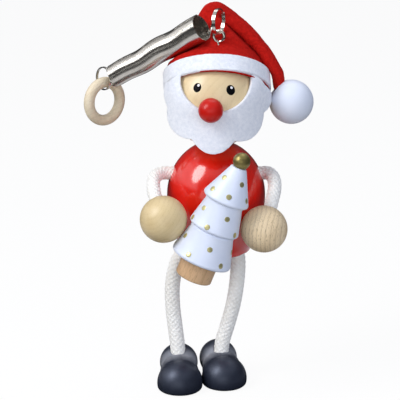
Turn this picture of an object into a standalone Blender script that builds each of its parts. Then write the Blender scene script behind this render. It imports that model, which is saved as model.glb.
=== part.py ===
"""Wooden figure on an extension spring: turned wood, felt cap and beard, rope arms and legs.

Metres, +Z up, the face looks along -Y. Sizes are in millimetres until MM turns them into metres.
Left and right are the figure's own, so its left side is at +X.
"""

import math

import bmesh
import bpy
import numpy as np
from mathutils import Matrix, Vector

MM = 0.001
GAP = 0.3  # clearance between glued or touching pieces
SHARP_ANGLE = math.radians(40.0)
WELD = 1e-6  # metres

# Turned body and head
TORSO_RADIUS = 23.5
TORSO_WIDEST_Z = 92.9
TORSO_UPPER_RISE = 26.3
TORSO_LOWER_DROP = 36.5
TORSO_TOP_Z = 118.0
TORSO_BOTTOM_Z = 65.0
TORSO_EDGE = 2.5
TORSO_UPPER_STEPS = 9
TORSO_LOWER_STEPS = 7
HEAD_CENTRE = Vector((-0.5, 0.0, 139.3))
HEAD_RADIUS = 22.5
NECK_DOWEL_RADIUS = 4.0
NECK_DOWEL_Z = (107.0, 128.0)
NOSE_CENTRE = Vector((-2.8, -26.4, 139.2))
NOSE_RADIUS = 5.7

# Felt cap: it hugs a sphere about the head, tipped back, and its long tip is folded down to the left
CAP_TIP_BACK = math.radians(32.0)
FELT = 1.2
CAP_SIDES = 22
CAP_HUG_HEIGHTS = (4.1, 7.5, 11.0, 14.5)
BRIM_EDGES = (4.8, 14.3)
BRIM_THICKNESS = 1.5
# Height along the cap's axis, half width, half depth, shift to the front, shift to the right
CROWN_SECTIONS = (
    (16.5, 19.3, 18.1, 0.0, -2.2),
    (19.5, 17.4, 15.9, 0.4, -3.5),
    (23.5, 15.4, 14.0, 1.4, -4.4),
    (28.0, 13.4, 12.4, 3.0, -3.3),
    (33.0, 10.9, 10.6, 5.0, -0.5),
)
# Centre, lean of the section in degrees, half width, half depth; the first three close the crown
FOLD_SECTIONS = (
    ((-0.7, 14.0, 174.6), 20.0, 8.0, 8.2),
    ((-0.45, 14.0, 177.8), 47.4, 6.0, 7.2),
    ((2.2, 13.6, 179.0), 75.0, 4.5, 6.4),
    ((4.6, 13.0, 175.7), 112.0, 5.0, 5.9),
    ((8.8, 12.4, 173.0), 126.0, 4.4, 5.6),
    ((13.0, 11.4, 170.4), 130.0, 3.7, 5.5),
    ((17.0, 10.2, 166.9), 131.0, 3.4, 5.6),
    ((20.4, 8.8, 163.4), 135.0, 3.0, 5.5),
    ((22.3, 7.4, 159.9), 142.0, 3.0, 5.3),
    ((24.2, 6.0, 156.4), 147.0, 3.0, 5.0),
    ((26.3, 4.8, 153.2), 150.0, 2.9, 4.6),
    ((28.3, 3.9, 150.3), 154.0, 2.9, 4.2),
    ((29.3, 3.2, 147.3), 160.0, 2.8, 3.8),
    ((29.7, 2.7, 144.3), 165.0, 2.6, 3.2),
    ((30.3, 2.4, 141.8), 165.0, 2.2, 2.4),
)
CROWN_FOLDS = 3  # how many of the fold's sections belong to the crown
LEVEL_LEAN = 80.0  # by this lean the sections no longer tip back with the cap
# The crease where the tip lies on the crown is a plane through a point, above a lower end
CREASE_POINT = Vector((3.6, 0.0, 174.8))
CREASE_NORMAL = Vector((0.689, 0.0, 0.725))
CREASE_END_Z = 159.0
TAIL_PIVOT = Vector((0.5, 12.0, 182.0))
POMPON_CENTRE = Vector((35.5, 2.0, 137.6))
POMPON_RADIUS = 10.5
TIP_HOLE_RADIUS = 3.9
TIP_HOLE_LENGTH = 12.0
TIP_HOLE_BEYOND = 0.5  # how far the hole runs on past the felt

# Felt beard, cut flat and bent round the face
BEARD_BEND_RADIUS = 27.0
BEARD_FRONT_Y = -24.4
BEARD_THICKNESS = 2.0
BEARD_POLE = (-0.9, 11.7)  # x and z from the head's centre
BEARD_CORNER_LEAN = 14.0  # degrees
BEARD_OPENING = (16.8, 13.3)  # half width and depth under the pole
BEARD_ROWS = 4
BEARD_MOST_TURN = 0.985  # sine of the turn at which the sheet stops bending
# Scallops: start and end angle, radius at each, how far the lobe bulges, steps
BEARD_LOBES = (
    (185.0, 210.0, 23.4, 26.0, 0.7, 6),
    (210.0, 247.0, 26.0, 28.0, 3.7, 9),
    (247.0, 288.0, 28.0, 28.4, 4.6, 9),
    (288.0, 330.0, 28.4, 26.3, 4.0, 9),
    (330.0, 355.0, 26.3, 26.0, 2.2, 6),
)

# Screw eye, spring and hanging ring
EYE_CENTRE = Vector((1.1, -5.0, 169.8))
EYE_RING_RADIUS = 2.55
EYE_WIRE_RADIUS = 0.75
SHANK_RADIUS = 0.9
SHANK_LENGTH = 19.0
SHANK_HOLE_ABOVE = 0.55  # how far the hole starts above the eye ring's foot
SPRING_HEADING = math.radians(20.5)  # the spring lies to the right and back
SPRING_SLOPE = math.radians(29.6)
COIL_START = 7.9  # from the eye to the first curl, level
COIL_START_RISE = 3.9
COIL_LENGTH = 52.6
COIL_CURLS = 39
COIL_NEAR_RADIUS = 6.3  # the coil is a little wider at the eye
COIL_FAR_RADIUS = 5.5
WIRE_RADIUS = 0.45
POINTS_PER_CURL = 8
LEAD_STEPS = 8  # from the coil to a loop
LOOP_STEPS = 12
COIL_END_DEGREES = 280.0  # where round the coil its ends lie
EYE_LOOP_RADIUS = 5.9
EYE_LOOP_RISE = 0.9  # the loop's foot above the eye's centre
EYE_LEAD_DEGREES = 197.0
EYE_LOOP_DEGREES = 306.0
END_LOOP_RADIUS = 5.4
END_LOOP_OFFSET = 4.9
END_LOOP_DROP = 1.4
END_LEAD_DEGREES = (262.0, 90.0)  # the end loop starts just short of the coil's last curl
END_LOOP_DEGREES = 280.0
RING_PLAY = 0.35
RING_HEADING = math.radians(48.7)
RING_RADIUS = 9.25
RING_TUBE_RADIUS = 2.7

# Tree held in front of the body
TREE_FOOT = Vector((-10.9, -35.4, 62.4))
TREE_LEAN = math.radians(21.8)
TREE_RIMS = (9.6, 25.2, 39.6)
TREE_RIM_RADII = (14.2, 11.8, 10.8)
TREE_NECK_RADII = (10.3, 8.8, 3.9)
TREE_TOP = 56.4
TREE_TOP_EDGE = 0.6
# Each rim: how far in from its radius and up from its height
TREE_RIM_STEPS = ((0.4, 3.0), (0.0, 2.2), (0.0, 1.2), (0.8, 0.0))
TREE_UNDERCUT = 1.4
TRUNK_RADIUS = 8.6
TENON_RADIUS = 4.5
TENON_LENGTH = 8.0
TRUNK_EDGE = 0.5
BEAD_RADIUS = 4.0
BEAD_ALONG = 59.4
TREE_DOWEL_RADIUS = 2.5
TREE_DOWEL_ALONG = 31.5  # up the tree's axis
TREE_DOWEL_Y = (-15.0, -33.9)

# Ropes, hands and shoes
ROPE_SAMPLES = 3  # points of a rope's line from one knot to the next
ARM_ROPE_RADIUS = 3.2
LEG_ROPE_RADIUS = 3.65
HAND_RADIUS = 10.9
RIGHT_HAND = Vector((-24.5, -32.0, 89.4))
LEFT_HAND = Vector((21.9, -29.0, 83.9))
RIGHT_ARM_PATH = (
    (-13.0, -1.0, 103.3),
    (-21.5, -1.0, 103.6),
    (-26.2, -3.0, 104.0),
    (-29.2, -8.0, 103.0),
    (-29.6, -14.0, 100.3),
    (-28.6, -20.0, 97.0),
    (-26.6, -26.0, 93.2),
    (-25.2, -30.0, 90.8),
)
LEFT_ARM_PATH = (
    (13.0, -1.0, 103.2),
    (21.0, -1.0, 103.6),
    (24.9, -3.0, 104.0),
    (27.2, -8.0, 102.3),
    (27.3, -13.5, 98.8),
    (26.0, -18.5, 94.8),
    (24.4, -23.0, 90.3),
    (22.9, -26.8, 86.2),
)
RIGHT_LEG_PATH = (
    (-8.5, -4.5, 74.0),
    (-14.2, -5.6, 67.0),
    (-18.6, -5.2, 60.5),
    (-20.9, -4.8, 50.0),
    (-21.0, -4.8, 39.0),
    (-19.9, -5.4, 28.5),
    (-18.7, -6.6, 19.0),
    (-18.2, -7.9, 9.0),
)
LEFT_LEG_PATH = (
    (7.5, -5.0, 76.0),
    (9.6, -6.4, 68.0),
    (10.6, -5.2, 60.5),
    (10.2, -3.8, 50.5),
    (8.5, -2.8, 38.5),
    (5.6, -2.4, 27.0),
    (3.2, -3.2, 18.5),
    (2.4, -4.4, 9.0),
)
SHOE_TOE_RADIUS = 11.0
SHOE_HEEL_RADIUS = 9.3
SHOE_PITCH = 14.5
SHOE_AXIS_TILT = math.radians(22.0)
SHOE_TOE_HEIGHT = 3.3
SHOE_STEPS = 18
SHOE_BLEND = 2.6  # the higher, the sharper the waist between toe and heel
RIGHT_TOE = (-17.4, -17.2)
LEFT_TOE = (4.1, -11.2)
RIGHT_SHOE_TURN = math.radians(3.0)
LEFT_SHOE_TURN = math.radians(12.0)

for old in list(bpy.data.objects):
    bpy.data.objects.remove(old)

PARTS = bpy.data.collections.new("wooden_spring_figure")
CUTTERS = bpy.data.collections.new("cutters")
bpy.context.scene.collection.children.link(PARTS)
bpy.context.scene.collection.children.link(CUTTERS)


def material(name, colour, roughness, metallic=0.0):
    made = bpy.data.materials.new(name)
    made.use_nodes = True
    shader = made.node_tree.nodes["Principled BSDF"]
    shader.inputs["Base Color"].default_value = (*colour, 1.0)
    shader.inputs["Roughness"].default_value = roughness
    shader.inputs["Metallic"].default_value = metallic
    return made


BEECH = (0.66, 0.50, 0.30)
RED_LACQUER = (0.60, 0.02, 0.01)
RED_FELT = (0.45, 0.015, 0.01)
WHITE_FELT = (0.80, 0.81, 0.84)
WHITE_PAINT = (0.85, 0.87, 0.92)
COTTON = (0.80, 0.77, 0.70)
BLACK_PAINT = (0.015, 0.016, 0.022)
STEEL = (0.55, 0.54, 0.52)
GOLD_PAINT = (0.30, 0.22, 0.07)


def object_from(bm, name, collection):
    """An object of a bmesh that is in millimetres, shaded smooth but for its corners."""
    bmesh.ops.recalc_face_normals(bm, faces=bm.faces)
    bmesh.ops.scale(bm, vec=(MM, MM, MM), verts=bm.verts)
    mesh = bpy.data.meshes.new(name)
    bm.to_mesh(mesh)
    bm.free()
    mesh.shade_smooth()
    mesh.set_sharp_from_angle(angle=SHARP_ANGLE)
    obj = bpy.data.objects.new(name, mesh)
    collection.objects.link(obj)
    return obj


def part_from(bm, name, colour, roughness, metallic=0.0):
    """A part with a material of its own."""
    obj = object_from(bm, name, PARTS)
    obj.data.materials.append(material(name, colour, roughness, metallic))
    return obj


def cutter_from(bm, name):
    """A tool for Booleans that is no part of the model."""
    obj = object_from(bm, name, CUTTERS)
    obj.hide_render = True
    obj.display_type = "WIRE"
    return obj


def cut(obj, *tools):
    for tool in tools:
        step = obj.modifiers.new(tool.name, "BOOLEAN")
        step.operation = "DIFFERENCE"
        step.solver = "EXACT"
        step.object = tool


def facing(centre, axis):
    """A matrix that puts local Z on the axis and the origin at the centre."""
    return Matrix.Translation(centre) @ Vector(axis).to_track_quat("Z", "Y").to_matrix().to_4x4()


def ball_mesh(centre, radius, segments, rings):
    bm = bmesh.new()
    bmesh.ops.create_uvsphere(
        bm, u_segments=segments, v_segments=rings, radius=radius, matrix=Matrix.Translation(centre)
    )
    return bm


def rod_mesh(start, end, radius, sides=16):
    start = Vector(start)
    end = Vector(end)
    bm = bmesh.new()
    bmesh.ops.create_cone(
        bm,
        cap_ends=True,
        segments=sides,
        radius1=radius,
        radius2=radius,
        depth=(end - start).length,
        matrix=facing((start + end) / 2, end - start),
    )
    return bm


def ring_mesh(rings):
    """A skin over rings of points, each ring in the same order, with both ends filled."""
    bm = bmesh.new()
    rows = [[bm.verts.new(point) for point in ring] for ring in rings]
    count = len(rows[0])
    for low, high in zip(rows, rows[1:]):
        for i in range(count):
            bm.faces.new((low[i], low[(i + 1) % count], high[(i + 1) % count], high[i]))
    bm.faces.new(rows[0])
    bm.faces.new(rows[-1])
    return bm


def hoop(name, centre, normal, radius, wire_radius, turns, sides):
    """A torus about a centre, square to a normal."""
    bpy.ops.mesh.primitive_torus_add(
        major_segments=turns, minor_segments=sides, major_radius=radius * MM, minor_radius=wire_radius * MM
    )
    obj = bpy.context.object
    obj.name = name
    obj.data.name = name
    obj.data.shade_smooth()
    obj.matrix_world = facing(centre * MM, normal)
    for holder in list(obj.users_collection):
        holder.objects.unlink(obj)
    PARTS.objects.link(obj)
    return obj


def turned(name, profile, steps, matrix, colour, roughness):
    """A lathe-turned piece: the profile (radius, height) is spun round local Z by a Screw."""
    mesh = bpy.data.meshes.new(name)
    points = [(radius * MM, 0.0, height * MM) for radius, height in profile]
    closed = profile[0][0] > 0.0 and profile[-1][0] > 0.0
    edges = [(i, i + 1) for i in range(len(points) - 1)]
    if closed:
        edges.append((len(points) - 1, 0))
    mesh.from_pydata(points, edges, [])
    mesh.materials.append(material(name, colour, roughness))
    obj = bpy.data.objects.new(name, mesh)
    PARTS.objects.link(obj)
    place = matrix.copy()
    place.translation = place.translation * MM
    obj.matrix_world = place
    spin = obj.modifiers.new("turned", "SCREW")
    spin.axis = "Z"
    spin.steps = steps
    spin.render_steps = steps
    spin.use_merge_vertices = True
    spin.merge_threshold = WELD
    return obj


def smooth_path(knots, samples):
    """Points of a Catmull-Rom curve through the knots."""
    knots = [Vector(knot) for knot in knots]
    ends = [2 * knots[0] - knots[1], *knots, 2 * knots[-1] - knots[-2]]
    points = []
    for a, b, c, d in zip(ends, ends[1:], ends[2:], ends[3:]):
        for i in range(samples):
            t = i / samples
            points.append(
                0.5
                * (
                    2 * b
                    + (c - a) * t
                    + (2 * a - 5 * b + 4 * c - d) * t**2
                    + (3 * b - a - 3 * c + d) * t**3
                )
            )
    points.append(knots[-1])
    return points


def tube_mesh(points, radius, resolution):
    """A round tube with flat ends along a run of points."""
    curve = bpy.data.curves.new("run", "CURVE")
    curve.dimensions = "3D"
    curve.bevel_depth = radius * MM
    curve.bevel_resolution = resolution
    curve.use_fill_caps = True
    spline = curve.splines.new("POLY")
    spline.points.add(len(points) - 1)
    for made, point in zip(spline.points, points):
        made.co = (*(Vector(point) * MM), 1.0)
    guide = bpy.data.objects.new("run", curve)
    PARTS.objects.link(guide)
    graph = bpy.context.evaluated_depsgraph_get()
    mesh = bpy.data.meshes.new_from_object(guide.evaluated_get(graph))
    bpy.data.objects.remove(guide)
    bpy.data.curves.remove(curve)
    bm = bmesh.new()
    bm.from_mesh(mesh)
    bpy.data.meshes.remove(mesh)
    bmesh.ops.remove_doubles(bm, verts=bm.verts, dist=WELD)
    bmesh.ops.scale(bm, vec=(1 / MM, 1 / MM, 1 / MM), verts=bm.verts)
    return bm


def joint_at(name, pivot, *pieces):
    """Hangs pieces on an empty that stands on the joint's axis."""
    empty = bpy.data.objects.new(name, None)
    empty.empty_display_size = 5 * MM
    PARTS.objects.link(empty)
    empty.location = Vector(pivot) * MM
    for piece in pieces:
        piece.location = piece.location - empty.location
        piece.parent = empty


def build_torso():
    """Egg-shaped turned body with a dished top, on which the head sits."""
    profile = [(0.0, TORSO_TOP_Z)]
    top = math.asin((TORSO_TOP_Z - TORSO_WIDEST_Z) / TORSO_UPPER_RISE)
    for i in range(TORSO_UPPER_STEPS):
        angle = top * (1 - i / TORSO_UPPER_STEPS)
        profile.append(
            (TORSO_RADIUS * math.cos(angle), TORSO_WIDEST_Z + TORSO_UPPER_RISE * math.sin(angle))
        )
    low = math.asin((TORSO_WIDEST_Z - TORSO_BOTTOM_Z - TORSO_EDGE) / TORSO_LOWER_DROP)
    for i in range(TORSO_LOWER_STEPS + 1):
        angle = low * i / TORSO_LOWER_STEPS
        profile.append(
            (TORSO_RADIUS * math.cos(angle), TORSO_WIDEST_Z - TORSO_LOWER_DROP * math.sin(angle))
        )
    edge = profile[-1][0]
    for angle in (math.radians(40), math.radians(90)):
        profile.append(
            (
                edge - TORSO_EDGE * (1 - math.cos(angle)),
                TORSO_BOTTOM_Z + TORSO_EDGE * (1 - math.sin(angle)),
            )
        )
    profile.append((0.0, TORSO_BOTTOM_Z))
    return turned("torso", profile, 26, Matrix.Identity(4), RED_LACQUER, 0.15)


def build_head():
    return part_from(ball_mesh(HEAD_CENTRE, HEAD_RADIUS, 26, 15), "head_ball", BEECH, 0.4)


def cap_frame():
    """Local Z is the cap's axis, local Y points to the back of the head."""
    return Matrix.Translation(HEAD_CENTRE) @ Matrix.Rotation(-CAP_TIP_BACK, 4, "X")


def zone_profile(low, high, inner, outer, count):
    """Section of a felt band between two spheres, outer side first from its top."""
    profile = []
    for i in range(count):
        height = high + (low - high) * i / (count - 1)
        profile.append((math.sqrt(outer**2 - height**2), height))
    for i in range(count):
        height = low + (high - low) * i / (count - 1)
        profile.append((math.sqrt(inner**2 - height**2), height))
    return profile


def build_brim():
    inner = HEAD_RADIUS + 2 * GAP + FELT
    profile = zone_profile(*BRIM_EDGES, inner, inner + BRIM_THICKNESS, 4)
    return turned("cap_brim", profile, 28, cap_frame(), WHITE_FELT, 0.95)


def crown_section(height, half_width, half_depth, front, right):
    """Centre, half width and half depth of a section square to the cap's axis."""
    turn = cap_frame().to_3x3()
    centre = cap_frame() @ Vector((-right, -front, height))
    return centre, turn @ Vector((half_width, 0, 0)), turn @ Vector((0, half_depth, 0))


def fold_section(centre, lean, half_width, half_depth):
    """The same for a section of the fold, which leans over to the left as the tip bends down."""
    angle = math.radians(lean)
    tip = CAP_TIP_BACK * max(0.0, 1 - lean / LEVEL_LEAN)
    inward = Vector((math.cos(angle), 0, -math.sin(angle)))
    back = Vector((0, math.cos(tip), -math.sin(tip)))
    return Vector(centre), inward * half_width, back * half_depth


def cap_ring(section, crease_side, inset=0.0):
    """Points round a section; those beyond the crease are drawn back to their own side of it."""
    centre, across, back = section
    across = across * (1 - inset / across.length)
    back = back * (1 - inset / back.length)
    ring = []
    for i in range(CAP_SIDES):
        angle = 2 * math.pi * i / CAP_SIDES
        point = centre + across * math.cos(angle) + back * math.sin(angle)
        beyond = crease_side * (point - CREASE_POINT).dot(CREASE_NORMAL)
        keep = GAP + inset - max(0.0, CREASE_END_Z - point.z)
        if crease_side and beyond < keep:
            point += CREASE_NORMAL * crease_side * (keep - beyond)
        ring.append(point)
    return ring


def hug_sections(radius):
    """Sections of the sphere about the head that the cap hugs."""
    sections = []
    for height in CAP_HUG_HEIGHTS:
        reach = math.sqrt(radius**2 - height**2)
        sections.append(crown_section(height, reach, reach, 0.0, 0.0))
    return sections


def build_crown():
    """Hollow felt cone that hugs the head under the brim, rises behind the screw eye and folds over."""
    rising = [crown_section(*section) for section in CROWN_SECTIONS]
    folding = [fold_section(*section) for section in FOLD_SECTIONS[:CROWN_FOLDS]]
    skin = hug_sections(HEAD_RADIUS + GAP + FELT) + rising + folding[:-1]
    outside = [cap_ring(section, -1) for section in skin]
    outside.append(cap_ring(folding[-1], 0))
    inside = [cap_ring(section, 0) for section in hug_sections(HEAD_RADIUS + GAP)]
    inside += [cap_ring(section, -1, FELT) for section in rising + folding[:-1]]
    return part_from(ring_mesh([*inside[::-1], *outside]), "cap_crown", RED_FELT, 0.95)


def build_tail():
    """The cap's folded tip, a flattened cone of felt that hangs to the left."""
    folds = FOLD_SECTIONS[CROWN_FOLDS - 1 :]
    centre, lean, half_width, half_depth = folds[0]
    run = Vector((math.sin(math.radians(lean)), 0, math.cos(math.radians(lean))))
    first = fold_section(Vector(centre) + run * GAP, lean, half_width, half_depth)
    rings = [cap_ring(first, 0)]
    rings += [cap_ring(fold_section(*fold), 1) for fold in folds[1:]]
    return part_from(ring_mesh(rings), "cap_tail", RED_FELT, 0.95)


def build_beard():
    """Felt sheet with a face opening and five scallops, bent round an upright axis."""
    rim = []
    for start, end, first, last, bulge, steps in BEARD_LOBES:
        for i in range(steps):
            t = i / steps
            reach = first + (last - first) * t + bulge * math.sin(math.pi * t)
            rim.append((start + (end - start) * t, reach))
    rim.append((BEARD_LOBES[-1][1], BEARD_LOBES[-1][3]))
    columns = []
    first_end = BEARD_LOBES[0][1]
    last_start = BEARD_LOBES[-1][0]
    for degrees, outer in rim:
        # The top corners lean in, so that the upper edges run along under the brim.
        lean = max((degrees - last_start) / (BEARD_LOBES[-1][1] - last_start), 0)
        lean -= max((first_end - degrees) / (first_end - BEARD_LOBES[0][0]), 0)
        column = []
        for i in range(BEARD_ROWS + 1):
            t = i / BEARD_ROWS
            angle = math.radians(degrees + BEARD_CORNER_LEAN * lean * (1 - t))
            inner = 1 / math.hypot(
                math.cos(angle) / BEARD_OPENING[0], math.sin(angle) / BEARD_OPENING[1]
            )
            reach = inner + (outer - inner) * t
            x = BEARD_POLE[0] + reach * math.cos(angle)
            column.append((x, BEARD_POLE[1] + reach * math.sin(angle)))
        columns.append(column)
    bm = bmesh.new()
    skin = []
    for column in columns:
        row = []
        for x, z in column:
            sine = x / BEARD_BEND_RADIUS
            turn = math.asin(max(-BEARD_MOST_TURN, min(BEARD_MOST_TURN, sine)))
            y = BEARD_FRONT_Y + BEARD_BEND_RADIUS * (1 - math.cos(turn))
            row.append(bm.verts.new(HEAD_CENTRE + Vector((BEARD_BEND_RADIUS * math.sin(turn), y, z))))
        skin.append(row)
    for near, far in zip(skin, skin[1:]):
        for j in range(BEARD_ROWS):
            bm.faces.new((near[j], near[j + 1], far[j + 1], far[j]))
    sheet = part_from(bm, "beard", WHITE_FELT, 0.95)
    felt = sheet.modifiers.new("felt", "SOLIDIFY")
    felt.thickness = BEARD_THICKNESS * MM
    felt.offset = -1.0
    return sheet


LEVEL = Vector((-math.cos(SPRING_HEADING), math.sin(SPRING_HEADING), 0))
SWING_AXIS = Vector((math.sin(SPRING_HEADING), math.cos(SPRING_HEADING), 0))
UP = Vector((0, 0, 1))
COIL_AXIS = LEVEL * math.cos(SPRING_SLOPE) - UP * math.sin(SPRING_SLOPE)  # from the eye outwards
COIL_UP = LEVEL * math.sin(SPRING_SLOPE) + UP * math.cos(SPRING_SLOPE)
COIL_NEAR = EYE_CENTRE + LEVEL * COIL_START + UP * COIL_START_RISE
COIL_FAR = COIL_NEAR + COIL_AXIS * COIL_LENGTH
RING_NORMAL = Vector((math.cos(RING_HEADING), -math.sin(RING_HEADING), 0))
LOOP_CENTRE = COIL_FAR + LEVEL * END_LOOP_OFFSET - UP * END_LOOP_DROP
RING_PIVOT = LOOP_CENTRE - UP * END_LOOP_RADIUS


def wound(centre, radius, side, top, degrees):
    angle = math.radians(degrees)
    return centre + radius * (math.cos(angle) * side + math.sin(angle) * top)


def build_eye():
    """Closed screw eye: a wire ring on a straight shank that runs into the head."""
    ring = hoop("eye_screw", EYE_CENTRE, SWING_AXIS, EYE_RING_RADIUS, EYE_WIRE_RADIUS, 19, 8)
    ring.data.materials.append(material("eye_screw", STEEL, 0.3, 1.0))
    neck = EYE_CENTRE - UP * EYE_RING_RADIUS
    shank = cutter_from(rod_mesh(neck, neck - UP * SHANK_LENGTH, SHANK_RADIUS, 10), "shank")
    join = ring.modifiers.new("shank", "BOOLEAN")
    join.operation = "UNION"
    join.solver = "EXACT"
    join.object = shank
    return ring


def eased(t):
    return t * t * (3 - 2 * t)


def spring_points():
    """Centre line of the coil with its loop through the screw eye, from the far end inwards."""
    points = []
    total = COIL_CURLS * POINTS_PER_CURL
    for i in range(total + 1):
        t = i / total
        radius = COIL_FAR_RADIUS + (COIL_NEAR_RADIUS - COIL_FAR_RADIUS) * t
        degrees = COIL_END_DEGREES + 360 * COIL_CURLS * t
        points.append(wound(COIL_FAR.lerp(COIL_NEAR, t), radius, SWING_AXIS, COIL_UP, degrees))
    loop_centre = EYE_CENTRE + UP * (EYE_LOOP_RADIUS + EYE_LOOP_RISE)
    for i in range(1, LEAD_STEPS + 1):
        t = i / LEAD_STEPS
        top = COIL_UP.lerp(UP, eased(t)).normalized()
        radius = COIL_NEAR_RADIUS + (EYE_LOOP_RADIUS - COIL_NEAR_RADIUS) * eased(t)
        degrees = COIL_END_DEGREES + EYE_LEAD_DEGREES * t
        points.append(wound(COIL_NEAR.lerp(loop_centre, eased(t)), radius, SWING_AXIS, top, degrees))
    for i in range(1, LOOP_STEPS + 1):
        degrees = COIL_END_DEGREES + EYE_LEAD_DEGREES + EYE_LOOP_DEGREES * i / LOOP_STEPS
        points.append(wound(loop_centre, EYE_LOOP_RADIUS, SWING_AXIS, UP, degrees))
    return points


def end_loop_points():
    """Centre line of the loop that holds the ring, from beside the coil's far end."""
    start, end = END_LEAD_DEGREES
    points = []
    for i in range(LEAD_STEPS + 1):
        t = i / LEAD_STEPS
        side = SWING_AXIS.lerp(-RING_NORMAL, eased(t)).normalized()
        top = COIL_UP.lerp(UP, eased(t)).normalized()
        radius = COIL_FAR_RADIUS + (END_LOOP_RADIUS - COIL_FAR_RADIUS) * eased(t)
        centre = COIL_FAR.lerp(LOOP_CENTRE, eased(t))
        points.append(wound(centre, radius, side, top, start + (end - start) * t))
    for i in range(1, LOOP_STEPS + 1):
        degrees = end - END_LOOP_DEGREES * i / LOOP_STEPS
        points.append(wound(LOOP_CENTRE, END_LOOP_RADIUS, -RING_NORMAL, UP, degrees))
    return points


def least_gap(points, radius):
    """Smallest clear space between two stretches of one tube that lie half a curl apart or more."""
    finer = 4
    run = []
    for start, end in zip(points, points[1:]):
        run += [start.lerp(end, i / finer) for i in range(finer)]
    run = np.array([tuple(point) for point in run])
    apart = np.linalg.norm(run[:, None] - run[None], axis=2)
    index = np.arange(len(run))
    apart[np.abs(index[:, None] - index[None]) < POINTS_PER_CURL // 2 * finer] = np.inf
    return apart.min() - 2 * radius


def build_ring():
    """Wooden ring that hangs on the end loop with a little play."""
    centre = RING_PIVOT + UP * (WIRE_RADIUS + RING_PLAY + RING_TUBE_RADIUS - RING_RADIUS)
    ring = hoop("hanging_ring", centre, RING_NORMAL, RING_RADIUS, RING_TUBE_RADIUS, 28, 10)
    ring.data.materials.append(material("hanging_ring", BEECH, 0.45))
    return ring


TREE_AXIS = Vector((math.sin(TREE_LEAN), 0, math.cos(TREE_LEAN)))


def tree_frame():
    return Matrix.Translation(TREE_FOOT) @ Matrix.Rotation(TREE_LEAN, 4, "Y")


def build_tree():
    """Turned tree of three tiers; each rim is rounded and undercut to the tier below."""
    top = TREE_NECK_RADII[-1]
    profile = [(0.0, TREE_TOP), (top - TREE_TOP_EDGE, TREE_TOP), (top, TREE_TOP - TREE_TOP_EDGE)]
    for tier in (2, 1, 0):
        rim = TREE_RIM_RADII[tier]
        height = TREE_RIMS[tier]
        profile += [(rim - inset, height + rise) for inset, rise in TREE_RIM_STEPS]
        if tier:
            profile.append((TREE_NECK_RADII[tier - 1], height - TREE_UNDERCUT))
    profile.append((0.0, TREE_RIMS[0]))
    return turned("tree_body", profile, 26, tree_frame(), WHITE_PAINT, 0.35)


def build_trunk():
    """Bare wood trunk with a tenon that is glued up into the tree."""
    top = TREE_RIMS[0] - GAP
    profile = [
        (0.0, top + TENON_LENGTH),
        (TENON_RADIUS, top + TENON_LENGTH),
        (TENON_RADIUS, top),
        (TRUNK_RADIUS, top),
        (TRUNK_RADIUS, TRUNK_EDGE),
        (TRUNK_RADIUS - TRUNK_EDGE, 0.0),
        (0.0, 0.0),
    ]
    return turned("tree_trunk", profile, 24, tree_frame(), BEECH, 0.5)


def shoe_frame(toe, turn):
    """Local Z runs from the toe back and up to the heel, after a turn outwards."""
    swing = Matrix.Rotation(turn, 4, "Z")
    lie = Matrix.Rotation(-(math.pi / 2 - SHOE_AXIS_TILT), 4, "X")
    return Matrix.Translation((*toe, SHOE_TOE_HEIGHT)) @ swing @ lie


def build_shoe(name, toe, turn):
    """Turned toe and heel balls run into one, sanded flat underneath."""
    back = SHOE_PITCH + SHOE_HEEL_RADIUS
    front = -SHOE_TOE_RADIUS
    profile = [(0.0, back)]
    for i in range(1, SHOE_STEPS):
        along = (back + front) / 2 + (back - front) / 2 * math.cos(math.pi * i / SHOE_STEPS)
        toe_reach = math.sqrt(max(SHOE_TOE_RADIUS**2 - along**2, 0))
        heel_reach = math.sqrt(max(SHOE_HEEL_RADIUS**2 - (along - SHOE_PITCH) ** 2, 0))
        profile.append(((toe_reach**SHOE_BLEND + heel_reach**SHOE_BLEND) ** (1 / SHOE_BLEND), along))
    profile.append((0.0, front))
    return turned(name, profile, 20, shoe_frame(toe, turn), BLACK_PAINT, 0.25)


def rope_and_hole(name, knots, radius):
    """A rope and the tool that drills its two blind holes."""
    line = smooth_path(knots, ROPE_SAMPLES)
    rope = part_from(tube_mesh(line, radius, 2), name, COTTON, 0.9)
    first = line[0] + (line[0] - line[1]).normalized() * GAP
    last = line[-1] + (line[-1] - line[-2]).normalized() * GAP
    drill = cutter_from(tube_mesh([first, *line[1:-1], last], radius + GAP, 2), name + "_hole")
    length = sum((b - a).length for a, b in zip(line, line[1:]))
    print(name, "length mm", round(length, 1))
    return rope, drill


# Turned body, head and nose
torso = build_torso()
head = build_head()
low, high = NECK_DOWEL_Z
part_from(rod_mesh((0, 0, low), (0, 0, high), NECK_DOWEL_RADIUS), "neck_dowel", BEECH, 0.6)
neck_rod = rod_mesh((0, 0, low - GAP), (0, 0, high + GAP), NECK_DOWEL_RADIUS + GAP)
neck_hole = cutter_from(neck_rod, "neck_hole")
head_seat = cutter_from(ball_mesh(HEAD_CENTRE, HEAD_RADIUS + GAP, 26, 15), "head_seat")
part_from(ball_mesh(NOSE_CENTRE, NOSE_RADIUS, 16, 10), "nose_ball", RED_LACQUER, 0.12)
nose_seat = cutter_from(ball_mesh(NOSE_CENTRE, NOSE_RADIUS + GAP, 16, 10), "nose_seat")

# Felt and pompon
beard = build_beard()
crown = build_crown()
build_brim()
tail = build_tail()
pompon = part_from(ball_mesh(POMPON_CENTRE, POMPON_RADIUS, 20, 12), "pompon_ball", WHITE_PAINT, 0.5)
tip = Vector(FOLD_SECTIONS[-1][0])
tail_run = (tip - Vector(FOLD_SECTIONS[-2][0])).normalized()
tip_rod = rod_mesh(tip - TIP_HOLE_LENGTH * tail_run, tip + TIP_HOLE_BEYOND * tail_run, TIP_HOLE_RADIUS)
tip_hole = cutter_from(tip_rod, "tip_hole")

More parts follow.
